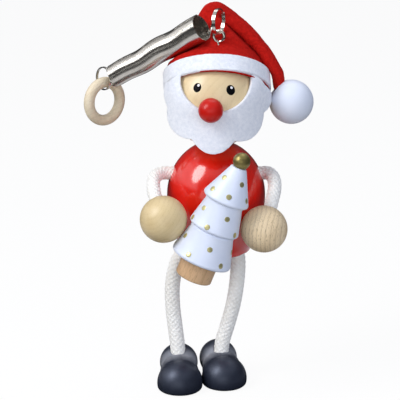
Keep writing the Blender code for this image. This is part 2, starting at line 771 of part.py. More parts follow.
# Screw eye, spring and ring
build_eye()
eye_foot = EYE_CENTRE - UP * EYE_RING_RADIUS
shank_rod = rod_mesh(
    eye_foot + UP * SHANK_HOLE_ABOVE, eye_foot - UP * (SHANK_LENGTH + GAP), SHANK_RADIUS + GAP, 12
)
shank_hole = cutter_from(shank_rod, "shank_hole")
coil_line = spring_points()
coil = part_from(tube_mesh(coil_line, WIRE_RADIUS, 1), "extension_spring", STEEL, 0.25, 1.0)
loop_line = end_loop_points()
end_loop = part_from(tube_mesh(loop_line, WIRE_RADIUS, 1), "spring_end_loop", STEEL, 0.25, 1.0)
print("spring least gap mm", round(least_gap(coil_line, WIRE_RADIUS), 3))
print("end loop least gap mm", round(least_gap(loop_line, WIRE_RADIUS), 3))
ring = build_ring()

# Tree
tree = build_tree()
build_trunk()
tenon_rod = rod_mesh(
    TREE_FOOT + TREE_AXIS * (TREE_RIMS[0] - TREE_UNDERCUT),
    TREE_FOOT + TREE_AXIS * (TREE_RIMS[0] + TENON_LENGTH + GAP),
    TENON_RADIUS + GAP,
    20,
)
tenon_hole = cutter_from(tenon_rod, "tenon_hole")
bead_centre = TREE_FOOT + TREE_AXIS * BEAD_ALONG
part_from(ball_mesh(bead_centre, BEAD_RADIUS, 14, 9), "tree_bead", GOLD_PAINT, 0.3)
bead_seat = cutter_from(ball_mesh(bead_centre, BEAD_RADIUS + GAP, 14, 9), "bead_seat")
dowel_line = TREE_FOOT + TREE_AXIS * TREE_DOWEL_ALONG
dowel_start, dowel_end = [Vector((dowel_line.x, y, dowel_line.z)) for y in TREE_DOWEL_Y]
dowel_play = Vector((0, GAP, 0))
part_from(rod_mesh(dowel_start, dowel_end, TREE_DOWEL_RADIUS, 14), "tree_dowel", BEECH, 0.6)
dowel_hole = cutter_from(
    rod_mesh(dowel_start + dowel_play, dowel_end - dowel_play, TREE_DOWEL_RADIUS + GAP, 14), "dowel_hole"
)

# Arms and legs: the floor block cuts the soles flat
floor_block = bmesh.new()
block_size = Vector((200, 200, 40))
bmesh.ops.create_cube(
    floor_block, size=1.0, matrix=Matrix.LocRotScale(Vector((0, 0, -block_size.z / 2)), None, block_size)
)
below_floor = cutter_from(floor_block, "below_floor")
LIMBS = {
    "right": (RIGHT_ARM_PATH, RIGHT_HAND, RIGHT_LEG_PATH, RIGHT_TOE, RIGHT_SHOE_TURN),
    "left": (LEFT_ARM_PATH, LEFT_HAND, LEFT_LEG_PATH, LEFT_TOE, LEFT_SHOE_TURN),
}
for side, (arm_path, hand_centre, leg_path, toe, turn) in LIMBS.items():
    arm, arm_hole = rope_and_hole(side + "_arm_rope", arm_path, ARM_ROPE_RADIUS)
    hand = part_from(ball_mesh(hand_centre, HAND_RADIUS, 20, 12), side + "_hand", BEECH, 0.45)
    leg, leg_hole = rope_and_hole(side + "_leg_rope", leg_path, LEG_ROPE_RADIUS)
    shoe = build_shoe(side + "_shoe", toe, turn)
    cut(torso, arm_hole, leg_hole)
    cut(hand, arm_hole)
    cut(shoe, below_floor, leg_hole)
    joint_at(side + "_shoulder", arm_path[1], arm, hand)
    joint_at(side + "_hip", leg_path[1], leg, shoe)

cut(torso, head_seat, neck_hole, dowel_hole)
cut(head, neck_hole, nose_seat, shank_hole)
cut(beard, nose_seat)
cut(crown, shank_hole)
cut(pompon, tip_hole)
cut(tree, tenon_hole, bead_seat, dowel_hole)

joint_at("tail_fold", TAIL_PIVOT, tail, pompon)
joint_at("spring_at_eye", EYE_CENTRE, coil)
joint_at("spring_pull", COIL_FAR, end_loop)
joint_at("ring_on_loop", RING_PIVOT, ring)

# The origin goes to the middle of the whole object's footprint, on the floor.
bpy.context.view_layer.update()
graph = bpy.context.evaluated_depsgraph_get()
corners = []
for obj in PARTS.objects:
    if obj.type == "MESH":
        shape = obj.evaluated_get(graph).to_mesh()
        corners += [tuple(obj.matrix_world @ vertex.co) for vertex in shape.vertices]
low = np.min(corners, axis=0)
high = np.max(corners, axis=0)
shift = Vector((-(low[0] + high[0]) / 2, -(low[1] + high[1]) / 2, -low[2]))
for obj in bpy.data.objects:
    if obj.parent is None:
        obj.location = obj.location + shift
print("box mm", np.round((high - low) * 1000, 2), "shift mm", [round(v * 1000, 3) for v in shift])
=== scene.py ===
import math

import bmesh
import bpy
from mathutils import Matrix, Vector, noise


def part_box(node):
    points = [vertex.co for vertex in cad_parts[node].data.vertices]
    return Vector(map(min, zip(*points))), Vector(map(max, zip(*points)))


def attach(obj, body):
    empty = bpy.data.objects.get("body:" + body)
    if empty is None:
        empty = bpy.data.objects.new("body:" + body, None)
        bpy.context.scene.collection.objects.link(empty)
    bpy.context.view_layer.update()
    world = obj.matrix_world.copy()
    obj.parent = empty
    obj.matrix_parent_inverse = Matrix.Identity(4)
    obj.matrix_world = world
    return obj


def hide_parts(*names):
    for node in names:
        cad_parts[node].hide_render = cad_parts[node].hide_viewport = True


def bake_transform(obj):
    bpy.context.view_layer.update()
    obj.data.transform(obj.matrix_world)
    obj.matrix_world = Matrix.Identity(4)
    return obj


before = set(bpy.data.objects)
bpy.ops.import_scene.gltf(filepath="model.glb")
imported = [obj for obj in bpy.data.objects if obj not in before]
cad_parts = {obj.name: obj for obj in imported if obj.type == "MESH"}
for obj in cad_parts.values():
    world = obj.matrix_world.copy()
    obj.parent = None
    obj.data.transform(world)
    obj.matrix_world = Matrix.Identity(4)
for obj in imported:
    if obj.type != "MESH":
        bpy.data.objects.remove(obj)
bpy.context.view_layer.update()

# Studio: a white paper floor, a soft box high on the left, a weaker bluish one in front on the right,
# one overhead and a low one in front. Gloss also mirrors a lit ceiling, a lit left wall and a ring of
# lit paper. The camera looks down by 15 degrees. None of this belongs to the figure.
MM = 0.001
torso_low, torso_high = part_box("torso")
BODY_AXIS = Vector(((torso_low.x + torso_high.x) / 2, (torso_low.y + torso_high.y) / 2, 0.0))
CAMERA_AIM = (-7.7, 0.0, 90.0)
CAMERA_DISTANCE_MM = 720.0
CAMERA_ELEVATION = math.radians(15.0)
CAMERA_LENS_MM = 135.0
SENSOR_MM = 36.0
LAMP_AIM = (0.0, 0.0, 105.0)
# Direction from the figure, distance and size in metres, watts, colour, and whether it shows in gloss
LAMPS = {
    "key_box": ((-0.647, -0.386, 0.657), 0.70, (0.32, 0.48), 3.2, "#FFFFFF", True),
    "fill_box": ((0.40, -0.87, 0.28), 0.80, (0.60, 0.60), 2.2, "#EAF1FF", False),
    "top_box": ((0.10, 0.35, 0.93), 0.80, (0.60, 0.40), 1.2, "#FFFFFF", True),
    "front_box": ((-0.20, -0.97, 0.05), 0.90, (0.90, 0.60), 1.5, "#FFFFFF", True),
}
# What gloss mirrors: axis, where the light begins and is full along it, dimmest and brightest
CEILING = ("Z", 0.45, 0.8, 0.06, 0.7)
LEFT_WALL = ("X", -0.66, -0.76, 0.0, 1.2)
WALL_FOOT = ("Z", 0.14, 0.26, 0.0, 1.0)
FLOOR_SIZE = 8.0
FLOOR_DROP = 0.0001  # keeps the paper just under the soles
PAPER = "#FFFFFF"
PAPER_GLOW = 0.93  # share of the camera's view of the paper that is plain white
BOUNCE = "#8E8C88"  # what the paper throws back at the figure
MIRRORED = "#E0DEDA"  # how it looks in glossy paint and nickel
MIRRORED_SHADE = "#3C3C3C"  # and how close to the figure, and where it runs out into the room
PAPER_LIT = (0.045, 0.085, 0.17, 0.28)  # from the figure outwards: shade, lit, still lit, room


def at(x, y, z):
    """A point of the frame, from millimetres measured from the body's axis on the floor."""
    return BODY_AXIS + Vector((x, y, z)) * MM


def colour(code):
    """An sRGB hex colour as the linear values that a shader takes."""
    parts = [int(code[i : i + 2], 16) / 255 for i in (1, 3, 5)]
    return (*(c / 12.92 if c <= 0.04045 else ((c + 0.055) / 1.055) ** 2.4 for c in parts), 1.0)


def add(tree, kind, inputs=(), **settings):
    """Adds one node with its properties set.

    An input is a value, a socket to link, or a node, which stands for its first output in use."""
    made = tree.nodes.new(kind)
    for name, value in settings.items():
        setattr(made, name, value)
    for key, value in dict(inputs).items():
        if isinstance(value, bpy.types.Node):
            value = next(output for output in value.outputs if output.enabled)
        if isinstance(value, bpy.types.NodeSocket):
            tree.links.new(value, made.inputs[key])
        else:
            made.inputs[key].default_value = value
    return made


def empty_material(name):
    """A new material, and its node tree with nothing in it."""
    made = bpy.data.materials.new(name)
    made.use_nodes = True
    made.node_tree.nodes.clear()
    return made, made.node_tree


def placed(name, data):
    """A new object of a mesh, lamp or camera, in the scene."""
    made = bpy.data.objects.new(name, data)
    bpy.context.scene.collection.objects.link(made)
    return made


camera = placed("camera", bpy.data.cameras.new("camera"))
camera.data.lens = CAMERA_LENS_MM
camera.data.sensor_width = SENSOR_MM
camera.data.clip_start = 0.01
view = Vector((0.0, -math.cos(CAMERA_ELEVATION), math.sin(CAMERA_ELEVATION)))
camera.location = at(*CAMERA_AIM) + CAMERA_DISTANCE_MM * MM * view
camera.rotation_euler = (math.pi / 2 - CAMERA_ELEVATION, 0.0, 0.0)
bpy.context.scene.camera = camera
bpy.context.scene.view_settings.view_transform = "Standard"

for lamp_name, (direction, distance, size, power, tone, in_gloss) in LAMPS.items():
    lamp = placed(lamp_name, bpy.data.lights.new(lamp_name, "AREA"))
    lamp.data.shape = "ELLIPSE"
    lamp.data.size, lamp.data.size_y = size
    lamp.data.energy = power
    lamp.data.color = colour(tone)[:3]
    lamp.location = at(*LAMP_AIM) + Vector(direction) * distance
    lamp.rotation_euler = (-Vector(direction)).to_track_quat("-Z", "Y").to_euler()
    lamp.visible_glossy = in_gloss

world = bpy.data.worlds.new("studio")
world.use_nodes = True
bpy.context.scene.world = world
tree = world.node_tree
tree.nodes.clear()
ray = add(tree, "ShaderNodeLightPath")
lighting = add(tree, "ShaderNodeBackground", {"Color": colour("#E0E9FF"), "Strength": 0.42})
way = add(tree, "ShaderNodeTexCoord")
way = add(tree, "ShaderNodeSeparateXYZ", {0: way.outputs["Generated"]})
ceiling, wall, wall_foot = (
    add(
        tree,
        "ShaderNodeMapRange",
        {"Value": way.outputs[axis], "From Min": start, "From Max": full, "To Min": dim, "To Max": bright},
        interpolation_type="SMOOTHSTEP",
    )
    for axis, start, full, dim, bright in (CEILING, LEFT_WALL, WALL_FOOT)
)
wall = add(tree, "ShaderNodeMath", {0: wall, 1: wall_foot}, operation="MULTIPLY")
brighter = add(tree, "ShaderNodeMath", {0: ceiling, 1: wall}, operation="MAXIMUM")
room = add(tree, "ShaderNodeBackground", {"Color": colour("#F3F4F8"), "Strength": brighter})
white = add(tree, "ShaderNodeBackground", {"Color": colour("#FFFFFF"), "Strength": 1.0})
mirrored = add(tree, "ShaderNodeMixShader", {0: ray.outputs["Is Glossy Ray"], 1: lighting, 2: room})
sky = add(tree, "ShaderNodeMixShader", {0: ray.outputs["Is Camera Ray"], 1: mirrored, 2: white})
add(tree, "ShaderNodeOutputWorld", {"Surface": sky})

# Paper: most of what the camera sees is plain white, and the rest takes the figure's shadow.
paper, tree = empty_material("white_paper")
ray = add(tree, "ShaderNodeLightPath")
place = add(tree, "ShaderNodeTexCoord").outputs["Object"]
away = add(tree, "ShaderNodeVectorMath", {0: place}, operation="LENGTH")
near_side, far_side = (
    add(
        tree,
        "ShaderNodeMapRange",
        {"Value": away, "From Min": dark, "From Max": light},
        interpolation_type="SMOOTHSTEP",
    )
    for dark, light in (PAPER_LIT[:2], PAPER_LIT[:1:-1])
)
lit = add(tree, "ShaderNodeMath", {0: near_side, 1: far_side}, operation="MULTIPLY")
in_gloss = add(
    tree, "ShaderNodeMix", {"Factor": lit, 6: colour(MIRRORED_SHADE), 7: colour(MIRRORED)}, data_type="RGBA"
)
glossy, seen = ray.outputs["Is Glossy Ray"], ray.outputs["Is Camera Ray"]
tone = add(tree, "ShaderNodeMix", {"Factor": glossy, 6: colour(BOUNCE), 7: in_gloss}, data_type="RGBA")
tone = add(tree, "ShaderNodeMix", {"Factor": seen, 6: tone, 7: colour(PAPER)}, data_type="RGBA")
matte = add(tree, "ShaderNodeBsdfDiffuse", {"Color": tone})
glow = add(tree, "ShaderNodeEmission", {"Color": colour(PAPER), "Strength": 1.0})
share = add(tree, "ShaderNodeMath", {0: seen, 1: PAPER_GLOW}, operation="MULTIPLY")
mixed = add(tree, "ShaderNodeMixShader", {0: share, 1: matte, 2: glow})
add(tree, "ShaderNodeOutputMaterial", {"Surface": mixed})

half = FLOOR_SIZE / 2
floor = placed("floor", bpy.data.meshes.new("floor"))
corners = [(-half, -half, 0.0), (half, -half, 0.0), (half, half, 0.0), (-half, half, 0.0)]
floor.data.from_pydata(corners, [], [(0, 1, 2, 3)])
floor.data.materials.append(paper)
floor.location = (0.0, 0.0, -FLOOR_DROP)

# Arms and legs: four lengths of braided cotton cord, thinner in the arms than in the legs.
# Each end is glued into a blind bore, in the body and in the hand or shoe.
ARM_ROPE_RADIUS = 3.2
LEG_ROPE_RADIUS = 3.65
STRANDS = 8  # each way round
BRAID_CELL_MM = 2.5
BRAID_RELIEF_MM = 0.42
BRAID_MEAN = 0.8  # the height in the relief that lies at the rope's radius
STRAND_FULLNESS = 0.6  # power of the strand's round section, fuller below 1
BRAID_SIDES = 64
BRAID_STEP_MM = 0.3
YARNS_PER_STRAND = 4
CURVE_STEPS = 24  # between two knots of a rope's line
# Radius, the knot where the bend of the joint ends, and the knots of the line from the body outwards
ROPES = {
    "right_arm": (
        ARM_ROPE_RADIUS,
        4,
        (
            (-13.0, -1.0, 103.3), (-21.5, -1.0, 103.6), (-26.2, -3.0, 104.0), (-29.2, -8.0, 103.0),
            (-29.6, -14.0, 100.3), (-28.6, -20.0, 97.0), (-26.6, -26.0, 93.2), (-25.2, -30.0, 90.8),
        ),
    ),
    "left_arm": (
        ARM_ROPE_RADIUS,
        4,
        (
            (13.0, -1.0, 103.2), (21.0, -1.0, 103.6), (24.9, -3.0, 104.0), (27.2, -8.0, 102.3),
            (27.3, -13.5, 98.8), (26.0, -18.5, 94.8), (24.4, -23.0, 90.3), (22.9, -26.8, 86.2),
        ),
    ),
    "right_leg": (
        LEG_ROPE_RADIUS,
        3,
        (
            (-8.5, -4.5, 74.0), (-14.2, -5.6, 67.0), (-18.6, -5.2, 60.5), (-20.9, -4.8, 50.0),
            (-21.0, -4.8, 39.0), (-19.9, -5.4, 28.5), (-18.7, -6.6, 19.0), (-18.2, -7.9, 9.0),
        ),
    ),
    "left_leg": (
        LEG_ROPE_RADIUS,
        3,
        (
            (7.5, -5.0, 76.0), (9.6, -6.4, 68.0), (10.6, -5.2, 60.5), (10.2, -3.8, 50.5),
            (8.5, -2.8, 38.5), (5.6, -2.4, 27.0), (3.2, -3.2, 18.5), (2.4, -4.4, 9.0),
        ),
    ),
}


def smooth_path(knots, samples):
    """Points of a Catmull-Rom curve through the knots."""
    knots = [Vector(knot) for knot in knots]
    ends = [2 * knots[0] - knots[1], *knots, 2 * knots[-1] - knots[-2]]
    points = []
    for a, b, c, d in zip(ends, ends[1:], ends[2:], ends[3:]):
        for i in range(samples):
            t = i / samples
            bend = (2 * a - 5 * b + 4 * c - d) * t**2 + (3 * b - a - 3 * c + d) * t**3
            points.append(0.5 * (2 * b + (c - a) * t + bend))
    points.append(knots[-1])
    return points


def evenly(points, spacing):
    """The same run with its points an equal distance apart."""
    lengths = [0.0]
    for start, end in zip(points, points[1:]):
        lengths.append(lengths[-1] + (end - start).length)
    count = max(2, round(lengths[-1] / spacing))
    found = []
    segment = 0
    for i in range(count + 1):
        target = lengths[-1] * i / count
        while segment < len(points) - 2 and lengths[segment + 1] < target:
            segment += 1
        run = lengths[segment + 1] - lengths[segment]
        found.append(points[segment].lerp(points[segment + 1], (target - lengths[segment]) / run))
    return found


def carried_frames(points):
    """A side and an up direction at each point that turn no more than the run itself does."""
    frames = []
    side = None
    for i in range(len(points)):
        along = (points[min(i + 1, len(points) - 1)] - points[max(i - 1, 0)]).normalized()
        if side is None:
            side = along.orthogonal().normalized()
        side = (side - along * side.dot(along)).normalized()
        frames.append((side, along.cross(side)))
    return frames


def skin(bm, rows, closed=False, round_about=True):
    """Joins rows of points by faces, from the top row down; a row of one point is a pole.

    Closed joins the last row to the first, and round about the end of a row to its beginning."""
    for high, low in zip(rows, [*rows[1:], rows[0]] if closed else rows[1:]):
        sides = max(len(high), len(low))
        for i in range(sides if round_about else sides - 1):
            j = (i + 1) % sides
            if len(high) == 1:
                bm.faces.new((high[0], low[i], low[j]))
            elif len(low) == 1:
                bm.faces.new((high[i], low[0], high[j]))
            else:
                bm.faces.new((high[i], low[i], low[j], high[j]))


def object_from(bm, name, material, sharp_degrees=40.0):
    """A smooth-shaded object of a bmesh that is in metres, in the scene."""
    mesh = bpy.data.meshes.new(name)
    bm.to_mesh(mesh)
    bm.free()
    mesh.shade_smooth()
    mesh.set_sharp_from_angle(angle=math.radians(sharp_degrees))
    mesh.materials.append(material)
    return placed(name, mesh)


def braid_height(turn, along):
    """Height of the braid from 0 to 1, and the place across the strand that lies on top."""
    first = STRANDS * turn + along / BRAID_CELL_MM
    second = STRANDS * turn - along / BRAID_CELL_MM
    if (math.floor(first) + math.floor(second)) % 2:
        first, second = second, first
    across = first % 1.0
    over = 0.5 + 0.5 * math.sin(math.pi * (second % 1.0))
    return math.sin(math.pi * across) ** STRAND_FULLNESS * over, across


def braided_rope(name, line, radius, material):
    """A rope along a line, its strands standing out of it and marked for painted shade between them and for
    the plies.
    """
    bm = bmesh.new()
    groove = bm.verts.layers.float.new("groove")
    yarn = bm.verts.layers.float.new("yarn")
    rows = []
    for i, (point, (side, top)) in enumerate(zip(line, carried_frames(line))):
        row = []
        for j in range(BRAID_SIDES):
            turn = j / BRAID_SIDES
            height, across = braid_height(turn, i * BRAID_STEP_MM)
            reach = (radius + BRAID_RELIEF_MM * (height - BRAID_MEAN)) * MM
            angle = 2 * math.pi * turn
            vertex = bm.verts.new(point + reach * (math.cos(angle) * side + math.sin(angle) * top))
            vertex[groove] = 1.0 - height
            vertex[yarn] = across
            row.append(vertex)
        rows.append(row)
    skin(bm, rows[::-1])
    bm.faces.new(rows[0][::-1])
    bm.faces.new(rows[-1])
    return object_from(bm, name, material, 180.0)


# Cotton: matte off-white yarn with painted shade that greys it down between the strands, and fine plies along
# each strand.
cotton, tree = empty_material("braided_cotton")
place = add(tree, "ShaderNodeTexCoord").outputs["Object"]
dirt = add(tree, "ShaderNodeTexNoise", {"Vector": place, "Scale": 1 / (6 * MM), "Detail": 3.0})
depth = add(tree, "ShaderNodeAttribute", attribute_name="groove").outputs["Fac"]
ply = add(tree, "ShaderNodeAttribute", attribute_name="yarn").outputs["Fac"]
plies = add(tree, "ShaderNodeMath", {0: ply, 1: 2 * math.pi * YARNS_PER_STRAND}, operation="MULTIPLY")
plies = add(tree, "ShaderNodeMath", {0: plies}, operation="SINE")
# The groove mark darkens the yarn down between the strands: painted shade.
shade, tint = (
    add(tree, "ShaderNodeMix", {"Factor": share, 6: colour(lighter), 7: colour(dull)}, data_type="RGBA")
    for share, lighter, dull in ((depth, "#FFFEFB", "#F6F3EC"), (dirt, "#FFFFFF", "#F8F6F1"))
)
tinted = add(
    tree, "ShaderNodeMix", {"Factor": 1.0, 6: shade, 7: tint}, data_type="RGBA", blend_type="MULTIPLY"
)
bump = add(tree, "ShaderNodeBump", {"Height": plies, "Strength": 0.25, "Distance": 0.08 * MM})
shader = add(
    tree,
    "ShaderNodeBsdfPrincipled",
    {
        "Base Color": tinted,
        "Roughness": 0.92,
        "Specular IOR Level": 0.2,
        "Sheen Weight": 0.25,
        "Sheen Roughness": 0.5,
        "Normal": bump,
    },
)
add(tree, "ShaderNodeOutputMaterial", {"Surface": shader})

rope_lines = {}
for limb, (radius, bend_knot, knots) in ROPES.items():
    line = evenly(smooth_path([at(*knot) for knot in knots], CURVE_STEPS), BRAID_STEP_MM * MM)
    rope_lines[limb] = line
    rope = braided_rope("braided_" + limb, line, radius, cotton)
    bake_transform(rope)
    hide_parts(limb + "_rope")

# Body: an egg of beech turned on a lathe, sprayed red and lacquered to a high gloss.
# The top is dished for the head; four bores take the ropes.
UP = Vector((0.0, 0.0, 1.0))
TORSO_RADIUS = 23.5
TORSO_WIDEST_Z = 92.9
TORSO_UPPER_RISE = 26.3
TORSO_LOWER_DROP = 36.5
TORSO_RIM_Z = 117.6
TORSO_BOTTOM_Z = 65.0
TORSO_EDGE = 2.5
TORSO_SIDES = 128
EGG_STEPS = 24  # in each half of its outline
HEAD_CENTRE = Vector((-0.5, 0.0, 139.3))
HEAD_RADIUS = 22.5
DISH_RADII = (0.0, 2.5, 5.0, 7.0)
DISH_ROOM = 0.3  # between the dish and the head
BORE_CLEARANCE = 0.25
BORE_BELOW = 0.3  # how far a bore goes on past the rope's end
BORE_SIGHT = 12  # points of the rope's line over which its end is taken as straight
BORE_SIDES = 40
TORSO_BORE_REACH = 26.0


def turned(name, profile, place, material, sides=96, closed=False):
    """A lathe-turned piece: the profile (radius, height) in millimetres is spun round local Z of place."""
    bm = bmesh.new()
    turns = [2 * math.pi * i / sides for i in range(sides)]
    rows = []
    for radius, height in profile:
        # On the axis a row is one point.
        row = []
        for a in turns if radius > 1e-6 else turns[:1]:
            spot = Vector((radius * math.cos(a), radius * math.sin(a), height))
            row.append(bm.verts.new(place @ (spot * MM)))
        rows.append(row)
    skin(bm, rows, closed)
    return object_from(bm, name, material)


def standing(centre, axis=UP):
    """A place with its origin at a point of the frame and local Z along the axis."""
    return Matrix.Translation(centre) @ Vector(axis).to_track_quat("Z", "Y").to_matrix().to_4x4()


def arc(centre_radius, centre_height, radius_r, radius_h, start, end, count):
    """Profile points on an ellipse, by angles in degrees from level."""
    points = []
    for i in range(count):
        angle = math.radians(start + (end - start) * i / (count - 1))
        radius = max(0.0, centre_radius + radius_r * math.cos(angle))
        points.append((radius, centre_height + radius_h * math.sin(angle)))
    return points


def bake(piece):
    """Makes what the modifiers give the piece's own plain mesh."""
    graph = bpy.context.evaluated_depsgraph_get()
    mesh = bpy.data.meshes.new_from_object(piece.evaluated_get(graph))
    piece.modifiers.clear()
    piece.data = mesh


def drill(piece, bores):
    """Cuts round bores into a piece's mesh, each with a start point, an end point and a radius in mm."""
    tools = []
    for start, end, radius in bores:
        depth = (end - start).length / MM
        profile = [(0.0, depth), (radius, depth), (radius, 0.0), (0.0, 0.0)]
        tool = turned("drill", profile, standing(start, end - start), piece.data.materials[0], BORE_SIDES)
        tools.append(tool)
        step = piece.modifiers.new("bore", "BOOLEAN")
        step.operation = "DIFFERENCE"
        step.solver = "EXACT"
        step.object = tool
    bake(piece)
    piece.data.shade_smooth()
    piece.data.set_sharp_from_angle(angle=math.radians(40.0))
    for tool in tools:
        bpy.data.objects.remove(tool)


def rope_bore(limb, near, reach_mm):
    """A bore along a rope's end: near is 0 at the body and -1 at the far end."""
    line = rope_lines[limb]
    inner = line[near]
    out = (line[BORE_SIGHT if near == 0 else -1 - BORE_SIGHT] - inner).normalized()
    return inner - out * BORE_BELOW * MM, inner + out * reach_mm * MM, ROPES[limb][0] + BORE_CLEARANCE


def red_lacquer(name, tone, darker, roughness, coat):
    """Red lacquer: an even spray coat with a faint orange-peel ripple; the coat is a hard clear gloss."""
    made, tree = empty_material(name)
    place = add(tree, "ShaderNodeTexCoord").outputs["Object"]
    flow = add(tree, "ShaderNodeTexNoise", {"Vector": place, "Scale": 1 / (9 * MM), "Detail": 2.0})
    peel = add(tree, "ShaderNodeTexNoise", {"Vector": place, "Scale": 1 / (1.4 * MM), "Detail": 1.0})
    red = add(tree, "ShaderNodeMix", {"Factor": flow, 6: colour(tone), 7: colour(darker)}, data_type="RGBA")
    bump = add(tree, "ShaderNodeBump", {"Height": peel, "Strength": 0.06, "Distance": 0.1 * MM})
    shader = add(
        tree,
        "ShaderNodeBsdfPrincipled",
        {
            "Base Color": red,
            "Roughness": roughness,
            "IOR": 1.5,
            "Specular IOR Level": 0.2,
            "Coat Weight": coat,
            "Coat Roughness": 0.12,
            "Coat IOR": 1.6,
            "Normal": bump,
        },
    )
    add(tree, "ShaderNodeOutputMaterial", {"Surface": shader})
    return made


lacquer = red_lacquer("red_gloss_lacquer", "#E61D08", "#D81605", 0.28, 1.0)
dish = [(r, HEAD_CENTRE.z - math.sqrt((HEAD_RADIUS + DISH_ROOM) ** 2 - r**2)) for r in DISH_RADII]
rim = math.degrees(math.asin((TORSO_RIM_Z - TORSO_WIDEST_Z) / TORSO_UPPER_RISE))
foot = -math.degrees(math.asin((TORSO_WIDEST_Z - TORSO_BOTTOM_Z - TORSO_EDGE) / TORSO_LOWER_DROP))
egg = arc(0.0, TORSO_WIDEST_Z, TORSO_RADIUS, TORSO_UPPER_RISE, rim, 0.0, EGG_STEPS)
egg += arc(0.0, TORSO_WIDEST_Z, TORSO_RADIUS, TORSO_LOWER_DROP, 0.0, foot, EGG_STEPS)[1:]
edge = egg[-1][0] - TORSO_EDGE
egg += arc(edge, TORSO_BOTTOM_Z + TORSO_EDGE, TORSO_EDGE, TORSO_EDGE, -25.0, -90.0, 6)
body_profile = [*dish, *egg, (0.0, TORSO_BOTTOM_Z)]
body = turned("lacquered_body", body_profile, standing(at(0, 0, 0)), lacquer, TORSO_SIDES)
drill(body, [rope_bore(limb, 0, TORSO_BORE_REACH) for limb in ROPES])
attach(body, "figure")
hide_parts("torso")

# Head: a sanded beech ball on a dowel, with two eyes dotted on in black paint, each with a small white dot
# that is a painted highlight.
# The dowels that hold the head and the tree are hidden in the wood and stay as the frame has them.
HEAD_BORE = (4.3, 9.0)  # radius and depth, for the dowel
HEAD_SIDES = 128
BALL_STEPS = 40  # from a ball's bore round to its far side
BORE_EDGE_WIDTH = 0.35  # where the edge of a ball's bore is broken
BORE_EDGE_DEPTH = 0.3
# Degrees to the side and up from straight ahead, half width and half height in mm
EYES = {"right_eye": (-24.3, 23.6, 1.95, 2.2), "left_eye": (19.1, 21.0, 2.1, 2.4)}
EYE_THICKNESS = 0.12
GLINT_ASIDE = 0.55  # from the middle of each eye, in mm
GLINT_ABOVE = 1.05
GLINT_RADIUS = 0.62
GLINT_LIFT = 0.1
GLINT_THICKNESS = 0.1
# From the middle of a drop of paint outwards: share of its half width, and of its thickness
PAINT_SECTION = ((0.0, 1.0), (0.35, 0.97), (0.65, 0.85), (0.88, 0.6), (1.0, 0.0), (0.95, -1.0), (0.0, -1.5))
PAINT_SIDES = 40


def beech(name, centre, grain, pale, dark, rings, flecks, roughness):
    """Beech: pale wood with fine growth rings round a pith beside the piece and short dark flecks, sealed.

    Rings are 2 mm apart. The flecks are really 0.1 mm wide and are drawn three times as wide, to show."""
    made, tree = empty_material(name)
    turn = Vector(grain).to_track_quat("Z", "Y")
    pith = Vector(centre) + turn @ Vector((9.0, 16.0, 0.0)) * MM
    place = add(tree, "ShaderNodeTexCoord").outputs["Object"]
    ring_place, fleck_place, cloud_place = (
        add(
            tree,
            "ShaderNodeMapping",
            {"Vector": place, "Location": pith, "Rotation": turn.to_euler(), "Scale": Vector(size) * MM},
            vector_type="TEXTURE",
        )
        for size in ((1.0, 1.0, 9.0), (0.34, 0.34, 2.2), (5.0, 5.0, 22.0))
    )
    growth = add(
        tree,
        "ShaderNodeTexWave",
        {"Vector": ring_place, "Scale": 0.157, "Distortion": 1.2, "Detail": 2.0, "Detail Scale": 1.5},
        wave_type="RINGS",
        rings_direction="Z",
        wave_profile="SAW",
    )
    late = add(tree, "ShaderNodeMath", {0: growth.outputs["Fac"], 1: 5.0}, operation="POWER")
    line = add(tree, "ShaderNodeMath", {0: late, 1: rings}, operation="MULTIPLY")
    cloud = add(tree, "ShaderNodeTexNoise", {"Vector": cloud_place, "Scale": 1.0, "Detail": 3.0})
    fleck = add(tree, "ShaderNodeTexNoise", {"Vector": fleck_place, "Scale": 1.0, "Detail": 1.0})
    dash = add(
        tree, "ShaderNodeMapRange", {"Value": fleck, "From Min": 0.6, "From Max": 0.7, "To Max": flecks}
    )
    tone = colour(pale)
    for share, darker in ((cloud, dark), (line, "#A07C50"), (dash, "#86663F")):
        tone = add(tree, "ShaderNodeMix", {"Factor": share, 6: tone, 7: colour(darker)}, data_type="RGBA")
    bump = add(tree, "ShaderNodeBump", {"Height": fleck, "Strength": 0.15 * flecks, "Distance": 0.12 * MM})
    shader = add(
        tree,
        "ShaderNodeBsdfPrincipled",
        {
            "Base Color": tone,
            "Roughness": roughness,
            "IOR": 1.5,
            "Coat Weight": 0.15,
            "Coat Roughness": 0.3,
            "Normal": bump,
        },
    )
    add(tree, "ShaderNodeOutputMaterial", {"Surface": shader})
    return made


def turned_ball(name, centre, radius, bore_axis, bore, material, sides=96):
    """A turned ball with one bore (radius, depth) along an axis, the bore's edge a little broken."""
    bore_radius, bore_depth = bore
    lip = math.degrees(math.acos((bore_radius + BORE_EDGE_WIDTH) / radius))
    wall_top = math.sqrt(radius**2 - bore_radius**2) - BORE_EDGE_DEPTH
    floor_height = wall_top - bore_depth
    profile = [(0.0, floor_height), (bore_radius, floor_height), (bore_radius, wall_top)]
    profile += arc(0.0, 0.0, radius, radius, lip, -89.0, BALL_STEPS)
    profile.append((0.0, -radius))
    return turned(name, profile, standing(centre, bore_axis), material, sides)


